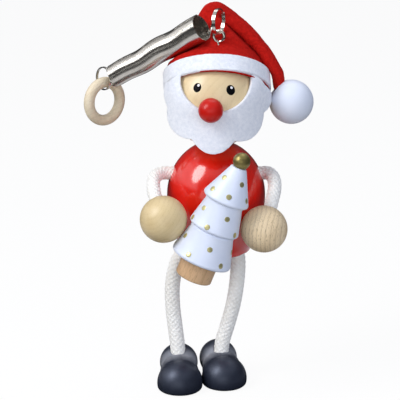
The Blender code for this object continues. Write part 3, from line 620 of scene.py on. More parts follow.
def paint_drop(name, centre, radius, azimuth, elevation, half_width, half_height, proud, material):
    """A thin oval of paint that lies on a ball, by its place in degrees from straight ahead."""
    az, el = math.radians(azimuth), math.radians(elevation)
    out = Vector((math.sin(az) * math.cos(el), -math.cos(az) * math.cos(el), math.sin(el)))
    side = Vector((math.cos(az), math.sin(az), 0.0))
    top = out.cross(side)
    bm = bmesh.new()
    rows = []
    for share, lift in PAINT_SECTION:
        row = []
        for i in range(PAINT_SIDES if share else 1):
            angle = 2 * math.pi * i / PAINT_SIDES
            reach = share * (half_width * math.cos(angle) * side + half_height * math.sin(angle) * top)
            way = (out * radius + reach).normalized()
            row.append(bm.verts.new(centre + way * (radius + proud * lift) * MM))
        rows.append(row)
    skin(bm, rows)
    bmesh.ops.recalc_face_normals(bm, faces=bm.faces)
    return object_from(bm, name, material, 60.0)


def brushed_paint(name, tone, darker, roughness, stroke_mm, shine=0.5):
    """Brushed paint: even colour with faint strokes and a soft gloss."""
    made, tree = empty_material(name)
    place = add(tree, "ShaderNodeTexCoord").outputs["Object"]
    cloud = add(tree, "ShaderNodeTexNoise", {"Vector": place, "Scale": 1 / (stroke_mm * MM), "Detail": 4.0})
    grain = add(tree, "ShaderNodeTexNoise", {"Vector": place, "Scale": 1 / (0.5 * MM)})
    coat = add(tree, "ShaderNodeMix", {"Factor": cloud, 6: colour(tone), 7: colour(darker)}, data_type="RGBA")
    rough = add(
        tree, "ShaderNodeMapRange", {"Value": cloud, "To Min": roughness - 0.05, "To Max": roughness + 0.05}
    )
    bump = add(tree, "ShaderNodeBump", {"Height": grain, "Strength": 0.05, "Distance": 0.1 * MM})
    shader = add(
        tree,
        "ShaderNodeBsdfPrincipled",
        {"Base Color": coat, "Roughness": rough, "Specular IOR Level": shine, "Normal": bump},
    )
    add(tree, "ShaderNodeOutputMaterial", {"Surface": shader})
    return made


head_place = at(*HEAD_CENTRE)
face_wood = beech("sealed_beech_face", head_place, (0.05, 0.0, 1.0), "#E4CEA3", "#DDC599", 0.1, 0.1, 0.3)
head = turned_ball("face_ball", head_place, HEAD_RADIUS, -UP, HEAD_BORE, face_wood, HEAD_SIDES)
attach(head, "figure")
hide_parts("head_ball")
dowel_wood = beech("bare_beech_dowel", head_place, UP, "#DCC093", "#C6A36F", 0.4, 0.4, 0.6)
for dowel in ("neck_dowel", "tree_dowel"):
    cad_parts[dowel].data.materials.clear()
    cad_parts[dowel].data.materials.append(dowel_wood)
eye_black = brushed_paint("black_eye_paint", "#06070B", "#0A0B10", 0.4, 2.0, 0.05)
# White paint for the glints: a painted highlight on each eye.
eye_highlight_paint = brushed_paint("painted_eye_highlight", "#FAFAFA", "#F0F0F2", 0.3, 1.0)
for eye_name, (azimuth, elevation, *half_sizes) in EYES.items():
    place = (head_place, HEAD_RADIUS, azimuth, elevation)
    dot = paint_drop(eye_name, *place, *half_sizes, EYE_THICKNESS, eye_black)
    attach(dot, "figure")
    # The glint is a painted highlight: a white dot above and beside the middle of each eye.
    azimuth += math.degrees(GLINT_ASIDE / HEAD_RADIUS)
    elevation += math.degrees(GLINT_ABOVE / HEAD_RADIUS)
    place = (head_place, HEAD_RADIUS + GLINT_LIFT, azimuth, elevation)
    glint = paint_drop(eye_name + "_glint", *place, GLINT_RADIUS, GLINT_RADIUS, GLINT_THICKNESS, eye_highlight_paint)
    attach(glint, "figure")

# Nose: a small turned ball in a duller coat of the same red lacquer.
# It is glued into a seat in the face.
NOSE_CENTRE = Vector((-2.8, -26.4, 139.2))
NOSE_RADIUS = 5.7
NOSE_BORE = (1.5, 3.0)
NOSE_SIDES = 64
nose_axis = HEAD_CENTRE - NOSE_CENTRE
nose_red = red_lacquer("red_satin_lacquer", "#C81B10", "#B9140B", 0.34, 0.15)
nose = turned_ball("red_nose", at(*NOSE_CENTRE), NOSE_RADIUS, nose_axis, NOSE_BORE, nose_red, NOSE_SIDES)
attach(nose, "figure")
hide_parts("nose_ball")

# Beard: one sheet of white wool felt, stamped with scallops and a round opening for the face,
# bent round the head and glued under the cap's brim.
BEARD_BEND_RADIUS = 26.0
BEARD_BEND_ROOM = 1.0
BEARD_WIDEST = 0.985  # sine of the furthest turn round the head
BEARD_FRONT_Y = -23.4
BEARD_THICKNESS = 1.9
BEARD_SOFT_EDGE = 0.55
BEARD_POLE = (0.0, 11.7)
BEARD_CORNER_LEAN = (14.0, 25.0)  # degrees, on the figure's right and left
BEARD_OPENING = (16.8, 13.3)
BEARD_DRAW = 0.75  # share of the gap to the face that glue closes at the opening's edge
BEARD_ROWS = 14
# Start and end in degrees round the pole, reach at each, and how far the scallop bulges
BEARD_LOBES = (
    (185.0, 210.0, 23.4, 26.0, 0.7),
    (210.0, 247.0, 26.0, 28.6, 3.5),
    (247.0, 288.0, 28.6, 28.4, 4.4),
    (288.0, 325.0, 28.4, 27.6, 3.6),
    (325.0, 344.0, 27.6, 27.3, 1.9),
)
LOBE_STEP = 2.0  # degrees
FELT_LUMP_MM = 1.3
WHITE_FELT_LUMPS = 0.12  # their height


def wool_felt(name, pale, deep, sheen):
    """Wool felt: matte, matted fibres that show as soft mottling with a little fuzz over it."""
    made, tree = empty_material(name)
    place = add(tree, "ShaderNodeTexCoord").outputs["Object"]
    wads = add(tree, "ShaderNodeTexNoise", {"Vector": place, "Scale": 1 / (1.5 * MM), "Detail": 4.0})
    fibres = add(
        tree,
        "ShaderNodeTexNoise",
        {"Vector": place, "Scale": 1 / (0.45 * MM), "Detail": 3.0, "Roughness": 0.7, "Distortion": 2.5},
    )
    both = add(tree, "ShaderNodeMix", {"Factor": 0.55, 2: wads, 3: fibres}, data_type="FLOAT")
    mottle = add(tree, "ShaderNodeMapRange", {"Value": both, "From Min": 0.35, "From Max": 0.65})
    wool = add(tree, "ShaderNodeMix", {"Factor": mottle, 6: colour(deep), 7: colour(pale)}, data_type="RGBA")
    bump = add(tree, "ShaderNodeBump", {"Height": both, "Strength": 0.6, "Distance": 0.5 * MM})
    shader = add(
        tree,
        "ShaderNodeBsdfPrincipled",
        {
            "Base Color": wool,
            "Roughness": 0.95,
            "Specular IOR Level": 0.1,
            "Sheen Weight": sheen,
            "Sheen Roughness": 0.6,
            "Sheen Tint": colour(pale),
            "Normal": bump,
        },
    )
    add(tree, "ShaderNodeOutputMaterial", {"Surface": shader})
    return made


def felted(piece, height_mm):
    """Gives a felt piece the low lumps of pressed wool, along its normals."""
    for vertex, normal in zip(piece.data.vertices, [v.normal.copy() for v in piece.data.vertices]):
        lump = noise.fractal(vertex.co / (FELT_LUMP_MM * MM), 0.8, 2.0, 3)
        vertex.co += normal * lump * height_mm * MM


white_felt = wool_felt("white_wool_felt", "#F7F8FC", "#DDE1EA", 0.4)
outline = []
for start, end, first, last, bulge in BEARD_LOBES:
    steps = round((end - start) / LOBE_STEP)
    for i in range(steps):
        t = i / steps
        reach = first + (last - first) * t + bulge * math.sin(math.pi * t)
        outline.append((start + (end - start) * t, reach))
outline.append((BEARD_LOBES[-1][1], BEARD_LOBES[-1][3]))
first_start, first_end = BEARD_LOBES[0][:2]
last_start, last_end = BEARD_LOBES[-1][:2]
bm = bmesh.new()
columns = []
for degrees, outer in outline:
    # The top corners lean in, so that the upper edges run along under the brim.
    lean = BEARD_CORNER_LEAN[1] * max((degrees - last_start) / (last_end - last_start), 0.0)
    lean -= BEARD_CORNER_LEAN[0] * max((first_end - degrees) / (first_end - first_start), 0.0)
    column = []
    for i in range(BEARD_ROWS + 1):
        t = i / BEARD_ROWS
        angle = math.radians(degrees + lean * (1 - t))
        inner = 1 / math.hypot(math.cos(angle) / BEARD_OPENING[0], math.sin(angle) / BEARD_OPENING[1])
        reach = inner + (outer - inner) * t
        x = BEARD_POLE[0] + reach * math.cos(angle)
        across = x / (BEARD_BEND_RADIUS + BEARD_BEND_ROOM)
        turn = math.asin(max(-BEARD_WIDEST, min(BEARD_WIDEST, across)))
        x = BEARD_BEND_RADIUS * math.sin(turn)
        y = BEARD_FRONT_Y + BEARD_BEND_RADIUS * (1 - math.cos(turn))
        z = BEARD_POLE[1] + reach * math.sin(angle)
        # Round the opening the felt is glued down to the face, which lies further back.
        face_y = -math.sqrt(max((HEAD_RADIUS + BEARD_THICKNESS / 2) ** 2 - x**2 - z**2, 1.0))
        y += max(face_y - y, 0.0) * BEARD_DRAW * (1 - t) ** 2
        column.append(bm.verts.new(at(*(HEAD_CENTRE + Vector((x, y, z))))))
    columns.append(column)
skin(bm, columns, round_about=False)
bmesh.ops.recalc_face_normals(bm, faces=bm.faces)
beard = object_from(bm, "felt_beard", white_felt, 180.0)
wall = beard.modifiers.new("felt", "SOLIDIFY")
wall.thickness = BEARD_THICKNESS * MM
wall.offset = 0.0
edge = beard.modifiers.new("soft_edge", "BEVEL")
edge.width = BEARD_SOFT_EDGE * MM
edge.segments = 3
edge.angle_limit = math.radians(50.0)
bake(beard)
felted(beard, WHITE_FELT_LUMPS)
beard.data.shade_smooth()
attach(beard, "figure")
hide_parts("beard")

# Cap: red wool felt sewn to a cone and drawn over the head, its long tip folded down to the left.
# The crown and the folded tip meet just past the top of the fold, where the tip starts to lift.
CAP_TIP_BACK = math.radians(32.0)
FELT = 1.2
RED_FELT_LUMPS = 0.14
CAP_SIDES = 144
HEM_HEIGHTS = (4.3, 4.6)  # the hem's narrow lip, along the cap's axis
HEM_REACH = 24.8
HEM_RIGHT = -0.9
HEM_TILT = 0.9  # the hem sits this much lower on the figure's left, and higher on its right
# Height along the cap's axis, half width, half depth, shift to the front, shift to the figure's right
CROWN_SECTIONS = (
    (5.1, 23.7, 23.7, 0.0, -1.0),
    (8.0, 23.7, 23.7, -0.1, -0.9),
    (12.6, 23.7, 23.7, -0.4, -0.8),
    (15.0, 22.9, 22.3, -0.2, -0.5),
    (16.5, 22.6, 21.0, 0.1, -0.2),
    (19.5, 19.2, 17.5, 1.4, -2.3),
    (23.5, 16.0, 15.2, 3.2, -4.0),
    (28.0, 13.4, 12.8, 3.4, -3.3),
    (33.0, 10.9, 10.6, 5.0, -0.5),
)
# Centre, lean of the section in degrees, half width and half depth
FOLD_SECTIONS = (
    ((-0.7, 14.0, 174.6), 20.0, 8.0, 8.2),
    ((-0.45, 14.0, 177.8), 47.4, 6.0, 7.2),
    ((2.2, 13.6, 179.0), 75.0, 4.5, 6.4),
    ((4.6, 13.0, 175.7), 112.0, 5.0, 5.9),
    ((8.8, 12.4, 173.0), 126.0, 4.4, 5.6),
    ((12.8, 11.4, 170.2), 130.0, 4.0, 5.5),
    ((16.7, 10.2, 166.5), 131.0, 3.9, 5.6),
    ((20.0, 8.8, 163.0), 135.0, 3.6, 5.5),
    ((22.6, 7.4, 159.9), 142.0, 3.6, 5.3),
    ((24.7, 6.0, 156.4), 147.0, 3.8, 5.0),
    ((27.4, 4.8, 153.2), 150.0, 3.0, 4.6),
    ((29.0, 3.9, 150.3), 154.0, 3.0, 4.2),
    ((29.4, 3.2, 147.3), 160.0, 3.0, 3.8),
    ((29.7, 2.7, 144.3), 165.0, 2.6, 3.2),
    ((30.3, 2.4, 141.8), 165.0, 2.2, 2.4),
)
FOLD_UPRIGHT = 80.0  # lean from which a section no longer tips back with the crown
SEAM_SECTION = 2  # of the fold, where the tip's own piece begins
CREASE_POINT = Vector((3.6, 0.0, 174.8))
CREASE_NORMAL = Vector((0.689, 0.0, 0.725))
CREASE_GAP = 0.15
CREASE_END_Z = 159.0
RINGS_PER_SECTION = 6
# The spring lies on the crown, so its line is laid down here: from the eye out to the figure's right.
EYE_CENTRE = Vector((1.1, -5.0, 169.8))
SPRING_HEADING = math.radians(20.5)
LEVEL = Vector((-math.cos(SPRING_HEADING), math.sin(SPRING_HEADING), 0.0))
SWING_AXIS = Vector((math.sin(SPRING_HEADING), math.cos(SPRING_HEADING), 0.0))
SPRING_SLOPE = math.radians(29.6)
COIL_START = 7.9
COIL_START_RISE = 3.9
COIL_LENGTH = 52.6
COIL_RADIUS = 6.3  # at the eye
COIL_REST = COIL_RADIUS + 0.55  # room that the spring takes in the felt
COIL_REST_END = 1.05  # and how far along, the coil being 1
COIL_WAVE = 0.45  # the old kinks in the winding, in mm
COIL_WAVES = 2.4
COIL_SWING = 2.0  # how far the end at the eye leans out to the front, in mm
COIL_SWING_START = 0.55  # and where along the coil that begins
COIL_AXIS = LEVEL * math.cos(SPRING_SLOPE) - UP * math.sin(SPRING_SLOPE)
COIL_UP = LEVEL * math.sin(SPRING_SLOPE) + UP * math.cos(SPRING_SLOPE)
COIL_NEAR = EYE_CENTRE + LEVEL * COIL_START + UP * COIL_START_RISE
COIL_FAR = COIL_NEAR + COIL_AXIS * COIL_LENGTH


def coil_centre(t):
    """The coil's bent axis from its far end, t = 0, to its end at the eye, t = 1."""
    wave = COIL_WAVE * math.sin(2 * math.pi * COIL_WAVES * t) * math.sin(math.pi * t)
    swing = COIL_SWING * max(0.0, (t - COIL_SWING_START) / (1 - COIL_SWING_START)) ** 2
    return COIL_FAR.lerp(COIL_NEAR, t) + COIL_UP * wave - SWING_AXIS * swing


def pressed(point, inset):
    """Felt gives way where the spring lies on it."""
    t = 1 - (point - COIL_NEAR).dot(COIL_AXIS) / COIL_LENGTH
    away = point - coil_centre(t)
    away -= COIL_AXIS * away.dot(COIL_AXIS)
    gap = max(COIL_REST + inset - away.length, 0.0) if 0.0 < t < COIL_REST_END else 0.0
    return point + away.normalized() * gap


def crown_section(height, half_width, half_depth, front, right, tilt=0.0):
    """A section across the cap's axis, which is tipped back: its centre, half width and half depth."""
    tip = Matrix.Rotation(-CAP_TIP_BACK, 3, "X")
    centre = HEAD_CENTRE + tip @ Vector((-right, -front, height))
    return centre, tip @ Vector((half_width, 0.0, -tilt)), tip @ Vector((0.0, half_depth, 0.0))


def fold_section(centre, lean, half_width, half_depth):
    """A section of the fold and of the tip past it, in the same form."""
    angle = math.radians(lean)
    inward = Vector((math.cos(angle), 0.0, -math.sin(angle)))
    tip = CAP_TIP_BACK * max(0.0, 1 - lean / FOLD_UPRIGHT)
    back = Vector((0.0, math.cos(tip), -math.sin(tip)))
    return Vector(centre), inward * half_width, back * half_depth


def section_ring(section, crease_side, inset=0.0):
    """Points round a section, kept to one side of the crease where the tip lies on the crown."""
    centre, across, back = section
    across = across * (1 - inset / across.length)
    back = back * (1 - inset / back.length)
    ring = []
    for i in range(CAP_SIDES):
        angle = 2 * math.pi * i / CAP_SIDES
        point = centre + across * math.cos(angle) + back * math.sin(angle)
        over = crease_side * (point - CREASE_POINT).dot(CREASE_NORMAL)
        keep = CREASE_GAP + inset - max(0.0, CREASE_END_Z - point.z)
        if crease_side and over < keep:
            point += CREASE_NORMAL * crease_side * (keep - over)
        ring.append(pressed(point, inset))
    return ring


def shell_rings(sections):
    """Rings up the outside of a hollow piece and down its inside, with each section's side of the crease."""
    rings = [section_ring(section, side) for section, side in sections]
    return rings + [section_ring(section, side, FELT) for section, side in sections[::-1]]


def felt_loft(name, rings, material, lump_mm):
    """A felt piece through rings of points, its last ring joined to its first."""
    bm = bmesh.new()
    skin(bm, [[bm.verts.new(at(*point)) for point in ring] for ring in rings], closed=True)
    bmesh.ops.recalc_face_normals(bm, faces=bm.faces)
    made = object_from(bm, name, material, 50.0)
    felted(made, lump_mm)
    return made


red_felt = wool_felt("red_wool_felt", "#CC1F17", "#9F100B", 0.12)
sections = [crown_section(height, HEM_REACH, HEM_REACH, 0.0, HEM_RIGHT, HEM_TILT) for height in HEM_HEIGHTS]
sections += [crown_section(*section) for section in CROWN_SECTIONS]
sections += [fold_section(*section) for section in FOLD_SECTIONS]
# Centres, half widths and half depths each run on a smooth curve from section to section.
run = list(zip(*(smooth_path(track, RINGS_PER_SECTION) for track in zip(*sections))))
rising = (len(HEM_HEIGHTS) + len(CROWN_SECTIONS)) * RINGS_PER_SECTION
turning = rising + SEAM_SECTION * RINGS_PER_SECTION
crown_run = [(section, -1) for section in run[:rising]]
crown_run += [(section, 0) for section in run[rising : turning + 1]]
crown = felt_loft("felt_cap", shell_rings(crown_run), red_felt, RED_FELT_LUMPS)
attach(crown, "figure")
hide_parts("cap_crown")
tip_run = [(run[turning], 0), *((section, 1) for section in run[turning + 1 :])]
cap_tip = felt_loft("felt_cap_tip", shell_rings(tip_run), red_felt, RED_FELT_LUMPS)
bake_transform(cap_tip)
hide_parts("cap_tail")

# Brim: a straight strip of white wool felt, wrapped round the cap and glued.
# The cap's red edge just shows under it.
BRIM_EDGES = (4.6, 12.9)
BRIM_REACH = 25.4
BRIM_FRONT = (0.0, -0.4)  # shifts of the lower and of the upper edge, as for the crown
BRIM_RIGHT = (-1.0, -0.5)
BRIM_THICKNESS = 1.5
BRIM_ROUND = 0.6
BRIM_ROWS = 18
brim_width = BRIM_EDGES[1] - BRIM_EDGES[0]
brim_rings = []
# The rings go down the outside of the strip, which has softened corners, and up its inside.
for inside in (False, True):
    for i in range(BRIM_ROWS + 1):
        t = i / BRIM_ROWS if inside else 1 - i / BRIM_ROWS
        near = min(t, 1 - t) * brim_width
        soft = BRIM_ROUND * max(0.0, 1 - near / BRIM_ROUND) ** 2
        reach = BRIM_REACH - (BRIM_THICKNESS if inside else soft)
        front = BRIM_FRONT[0] + (BRIM_FRONT[1] - BRIM_FRONT[0]) * t
        right = BRIM_RIGHT[0] + (BRIM_RIGHT[1] - BRIM_RIGHT[0]) * t
        section = crown_section(BRIM_EDGES[0] + brim_width * t, reach, reach, front, right)
        brim_rings.append(section_ring(section, 0))
brim = felt_loft("felt_brim", brim_rings, white_felt, WHITE_FELT_LUMPS)
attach(brim, "figure")
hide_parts("cap_brim")

# Pompon: a turned wooden ball painted satin white.
# It is bored for the end of the cap's tip, which is glued in.
POMPON_CENTRE = Vector((35.5, 2.0, 137.6))
POMPON_RADIUS = 10.5
POMPON_BORE = (3.6, 7.0)
pompon_white = brushed_paint("satin_white_ball_paint", "#E8EDF8", "#DEE4F1", 0.5, 6.0)
tip_axis = Vector(FOLD_SECTIONS[-1][0]) - POMPON_CENTRE
pompon = turned_ball("white_pompon", at(*POMPON_CENTRE), POMPON_RADIUS, tip_axis, POMPON_BORE, pompon_white)
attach(pompon, "cap_tip")
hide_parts("pompon_ball")

# Screw eye: one nickel-plated steel wire, bent round at its top to a closed eye.
# It is screwed down through the cap into the head.
EYE_RING_RADIUS = 2.55
EYE_RING_DEGREES = 352  # all but a full turn
EYE_RING_STEPS = 48
EYE_WIRE_RADIUS = 0.75
EYE_WIRE_CORNER = 0.99 * EYE_WIRE_RADIUS  # next to the full radius, so the wire is round
EYE_WIRE_STEPS = 5  # in each corner
SHANK_LENGTH = 19.0
SHANK_STEPS = 12


def empty_group(name, inputs, output):
    """A node tree for shapes with its named inputs and its output, and the sockets that give the inputs."""
    made = bpy.data.node_groups.new(name, "GeometryNodeTree")
    for label, kind in inputs.items():
        made.interface.new_socket(label, in_out="INPUT", socket_type="NodeSocket" + kind)
    made.interface.new_socket(output, in_out="OUTPUT", socket_type="NodeSocketGeometry")
    return made, add(made, "NodeGroupInput").outputs


def grown(name, group, points, edges, facings, values):
    """A plain mesh that a node tree makes from points and their facing directions, by its labelled inputs."""
    made = placed(name, bpy.data.meshes.new(name))
    made.data.from_pydata(points, edges, [])
    facing = made.data.attributes.new("facing", "FLOAT_VECTOR", "POINT")
    facing.data.foreach_set("vector", [value for way in facings for value in way])
    step = made.modifiers.new("grown", "NODES")
    step.node_group = group
    for item in group.interface.items_tree:
        if item.in_out == "INPUT" and item.name in values:
            step[item.identifier] = values[item.name]
    bake(made)
    return made


# The wire is square with rounded corners, or fully round, and is swept along the object's line.
# Each point's own direction keeps one flat of the wire facing away from the coil's axis.
wire_group, given = empty_group(
    "bent_wire",
    {
        "Line": "Geometry",
        "Wire width": "Float",
        "Corner radius": "Float",
        "Corner steps": "Int",
        "Finish": "Material",
    },
    "Wire",
)
line = add(wire_group, "GeometryNodeMeshToCurve", {"Mesh": given["Line"]})
facing = add(wire_group, "GeometryNodeInputNamedAttribute", {"Name": "facing"}, data_type="FLOAT_VECTOR")
line = add(wire_group, "GeometryNodeSetCurveNormal", {"Curve": line, "Normal": facing}, mode="FREE")
square = add(
    wire_group,
    "GeometryNodeCurvePrimitiveQuadrilateral",
    {"Width": given["Wire width"], "Height": given["Wire width"]},
    mode="RECTANGLE",
)
profile = add(
    wire_group,
    "GeometryNodeFilletCurve",
    {"Curve": square, "Count": given["Corner steps"], "Radius": given["Corner radius"]},
    mode="POLY",
)
swept = add(
    wire_group, "GeometryNodeCurveToMesh", {"Curve": line, "Profile Curve": profile, "Fill Caps": True}
)
real = add(wire_group, "GeometryNodeRealizeInstances", {"Geometry": swept})
finished = add(wire_group, "GeometryNodeSetMaterial", {"Geometry": real, "Material": given["Finish"]})
add(wire_group, "NodeGroupOutput", {"Wire": finished})


def bent_wire(name, run, radius_mm, corner_mm, corner_steps, material):
    """A wire along a run of (point, outward direction) in figure millimetres, as a plain mesh."""
    points, outward = zip(*run)
    values = {
        "Wire width": 2 * radius_mm * MM,
        "Corner radius": corner_mm * MM,
        "Corner steps": corner_steps,
        "Finish": material,
    }
    edges = [(i, i + 1) for i in range(len(run) - 1)]
    made = grown(name, wire_group, [at(*point) for point in points], edges, outward, values)
    bm = bmesh.new()
    bm.from_mesh(made.data)
    bmesh.ops.remove_doubles(bm, verts=bm.verts, dist=1e-7)
    bmesh.ops.recalc_face_normals(bm, faces=bm.faces)
    bm.to_mesh(made.data)
    bm.free()
    made.data.shade_smooth()
    made.data.set_sharp_from_angle(angle=math.radians(60.0))
    return made


def wound(centre, radius, side, top, degrees):
    """A point of a round turn, and the direction away from the turn's centre there."""
    angle = math.radians(degrees)
    out = math.cos(angle) * side + math.sin(angle) * top
    return centre + radius * out, out


# Nickel: bright plating with a warm grey tone, a little hazy in places.
nickel, tree = empty_material("bright_nickel_plate")
place = add(tree, "ShaderNodeTexCoord").outputs["Object"]
haze = add(tree, "ShaderNodeTexNoise", {"Vector": place, "Scale": 1 / (3 * MM), "Detail": 3.0})
tone = add(
    tree, "ShaderNodeMix", {"Factor": haze, 6: colour("#E2DED7"), 7: colour("#CBC5BC")}, data_type="RGBA"
)
rough = add(tree, "ShaderNodeMapRange", {"Value": haze, "To Min": 0.08, "To Max": 0.2})
shader = add(tree, "ShaderNodeBsdfPrincipled", {"Base Color": tone, "Metallic": 1.0, "Roughness": rough})
add(tree, "ShaderNodeOutputMaterial", {"Surface": shader})

neck = EYE_CENTRE - UP * EYE_RING_RADIUS
eye_line = [(neck - UP * SHANK_LENGTH * (1 - i / SHANK_STEPS), LEVEL) for i in range(SHANK_STEPS)]
# The first two points of the ring are left out, so that the wire leads over from the shank.
for i in range(2, EYE_RING_STEPS + 1):
    degrees = -90 + EYE_RING_DEGREES * i / EYE_RING_STEPS
    eye_line.append(wound(EYE_CENTRE, EYE_RING_RADIUS, LEVEL, UP, degrees))
screw_eye = bent_wire("screw_eye_wire", eye_line, EYE_WIRE_RADIUS, EYE_WIRE_CORNER, EYE_WIRE_STEPS, nickel)
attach(screw_eye, "figure")
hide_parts("eye_screw")

# Spring: one nickel-plated steel wire wound close, with a loop of two to three turns at each end.
# One loop runs through the screw eye and the other holds the wooden ring.
COIL_CURLS = 92
COIL_FAR_RADIUS = 5.2
POINTS_PER_CURL = 28
WIRE_RADIUS = 0.275
WIRE_CORNER = 0.06
WIRE_CORNER_STEPS = 3
END_LOOP_RADIUS = 5.4
END_LOOP_OFFSET = 4.9
END_LOOP_DROP = 1.4
END_LOOP_TURNS = 1.9
EYE_LOOP_RADIUS = 5.9
EYE_LOOP_OFFSET = 0.8
EYE_LOOP_RISE = 0.9
EYE_LOOP_TURNS = 2.8
STACK = 2.05 * WIRE_RADIUS  # from turn to turn of a loop
COIL_END_DEGREES = 280.0  # where round the coil its two ends leave it
LEAD_DEGREES = 190.0
LEAD_STEPS = 12
TANGENT_STEP = 0.01  # share of the coil over which its direction is taken
STEPS_PER_TURN = 36
EYE_LOOP_HEADING = math.radians(23.0)
RING_HEADING = math.radians(48.7)
RING_NORMAL = Vector((math.cos(RING_HEADING), -math.sin(RING_HEADING), 0.0))
END_LOOP_CENTRE = COIL_FAR + LEVEL * END_LOOP_OFFSET - UP * END_LOOP_DROP
EYE_LOOP_CENTRE = EYE_CENTRE + UP * (EYE_LOOP_RADIUS + EYE_LOOP_RISE) + LEVEL * EYE_LOOP_OFFSET
EYE_LOOP_SIDE = Vector((math.sin(EYE_LOOP_HEADING), math.cos(EYE_LOOP_HEADING), 0.0))


def loop_out(coil_end, coil_radius, loop_centre, loop_radius, side, stack, turns, turn_sign):
    """From the coil's last point up into a loop of a few turns that lie side by side."""
    points = []
    for i in range(1, LEAD_STEPS + 1):
        t = i / LEAD_STEPS
        ease = t * t * (3 - 2 * t)
        across = SWING_AXIS.lerp(side, ease).normalized()
        top = COIL_UP.lerp(UP, ease).normalized()
        radius = coil_radius + (loop_radius - coil_radius) * ease
        centre = coil_end.lerp(loop_centre - stack * 0.5, ease)
        points.append(wound(centre, radius, across, top, COIL_END_DEGREES + turn_sign * LEAD_DEGREES * t))
    steps = round(turns * STEPS_PER_TURN)
    for i in range(1, steps + 1):
        t = i / steps
        centre = loop_centre + stack * (t * turns - 0.5)
        degrees = COIL_END_DEGREES + turn_sign * (LEAD_DEGREES + 360 * turns * t)
        points.append(wound(centre, loop_radius, side, UP, degrees))
    return points


coil_points = []
total = COIL_CURLS * POINTS_PER_CURL
for i in range(total + 1):
    t = i / total
    along = (coil_centre(t + TANGENT_STEP) - coil_centre(t - TANGENT_STEP)).normalized()
    side = (SWING_AXIS - along * SWING_AXIS.dot(along)).normalized()
    radius = COIL_FAR_RADIUS + (COIL_RADIUS - COIL_FAR_RADIUS) * t
    degrees = COIL_END_DEGREES + 360 * COIL_CURLS * t
    coil_points.append(wound(coil_centre(t), radius, side, side.cross(along), degrees))
eye_loop = loop_out(
    coil_centre(1.0),
    COIL_RADIUS,
    EYE_LOOP_CENTRE,
    EYE_LOOP_RADIUS,
    EYE_LOOP_SIDE,
    -LEVEL * STACK,
    EYE_LOOP_TURNS,
    1,
)
ring_loop = loop_out(
    COIL_FAR,
    COIL_FAR_RADIUS,
    END_LOOP_CENTRE,
    END_LOOP_RADIUS,
    -RING_NORMAL,
    RING_NORMAL.cross(UP) * STACK,
    END_LOOP_TURNS,
    -1,
)
wire_section = (WIRE_RADIUS, WIRE_CORNER, WIRE_CORNER_STEPS)
spring = bent_wire("spring_wire", [*ring_loop[::-1], *coil_points], *wire_section, nickel)
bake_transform(spring)
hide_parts("extension_spring", "spring_end_loop")
# The loop stays up in its eye while the coil swings, so the wire between them gives.
eye_wire = bent_wire("spring_eye_loop", [coil_points[-1], *eye_loop], *wire_section, nickel)
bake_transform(eye_wire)

# Ring: a bare beech ring, turned round in section, to hang the figure by.
# It is threaded on the spring's outer loop.
RING_RADIUS = 9.25
RING_TUBE_RADIUS = 2.6
RING_SIDES = 120
RING_TUBE_STEPS = 48  # the last one stands a step short of the first
ring_low, ring_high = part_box("hanging_ring")
ring_centre = (ring_low + ring_high) / 2
ring_wood = beech("bare_beech_ring", ring_centre, (0.75, 0.66, 0.2), "#E9DCC2", "#D8C5A2", 0.16, 0.2, 0.55)
ring_section = arc(RING_RADIUS, 0.0, RING_TUBE_RADIUS, RING_TUBE_RADIUS, 90.0, -262.5, RING_TUBE_STEPS)
ring_place = standing(ring_centre, RING_NORMAL)
ring = turned("beech_ring", ring_section, ring_place, ring_wood, RING_SIDES, closed=True)
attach(ring, "ring")
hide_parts("hanging_ring")

# Tree: three tiers turned in one piece of wood and painted satin white.
# A dowel glues it to the belly.
TREE_FOOT = Vector((-10.9, -35.4, 62.4))
TREE_LEAN = math.radians(21.8)
TREE_RIMS = (9.6, 25.2, 39.6)  # heights along the tree, from its foot
TREE_RIM_RADII = (14.2, 11.8, 10.8)
TREE_NECK_RADII = (10.3, 8.8, 3.9)
TREE_TOP = 56.4
TREE_TOP_ROUND = 0.7
TREE_RIM_ROUND = 1.3
TREE_SIDES = 120
TREE_AXIS = Vector((math.sin(TREE_LEAN), 0.0, math.cos(TREE_LEAN)))
tree_place = Matrix.Translation(at(*TREE_FOOT)) @ Matrix.Rotation(TREE_LEAN, 4, "Y")
# The outline runs from the top down: straight flanks, rounded rims and undercuts.
top_flat = TREE_NECK_RADII[2] - TREE_TOP_ROUND
tiers = [(0.0, TREE_TOP), (top_flat, TREE_TOP)]
tiers += arc(top_flat, TREE_TOP - TREE_TOP_ROUND, TREE_TOP_ROUND, TREE_TOP_ROUND, 80.0, 20.0, 5)
for tier in (2, 1, 0):
    rim, height, edge = TREE_RIM_RADII[tier], TREE_RIMS[tier], TREE_RIM_ROUND
    tiers += arc(rim - edge, height + edge, edge, edge, 18.0, -80.0, 10)
    if tier:
        # Under the rim: its flat, the corner of the undercut and the start of the next flank
        inner = TREE_NECK_RADII[tier - 1]
        tiers += [(rim - 2.0, height - 0.1), (inner + 0.2, height - 1.1), (inner + 0.1, height - 1.6)]
tiers += [(TREE_RIM_RADII[0] - 3.0, TREE_RIMS[0]), (0.0, TREE_RIMS[0])]
tree_white = brushed_paint("satin_white_tree_paint", "#E6ECFA", "#DAE2F3", 0.38, 5.0)
tree_piece = turned("white_tree", tiers, tree_place, tree_white, TREE_SIDES)
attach(tree_piece, "figure")
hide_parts("tree_body")

# Gold dots: brass paint dabbed on the white tiers with a round stick.
# They stand in six rows, each of four to six dots all the way round.
DOT_RADIUS = 1.3
DOT_HEIGHT = 0.16
FLANK_START = 1.7  # a tier's flank begins this far above its rim
FLANK_END = 1.6  # and ends this far under the next rim
FLANK_TOP = 0.5  # or under the tree's top
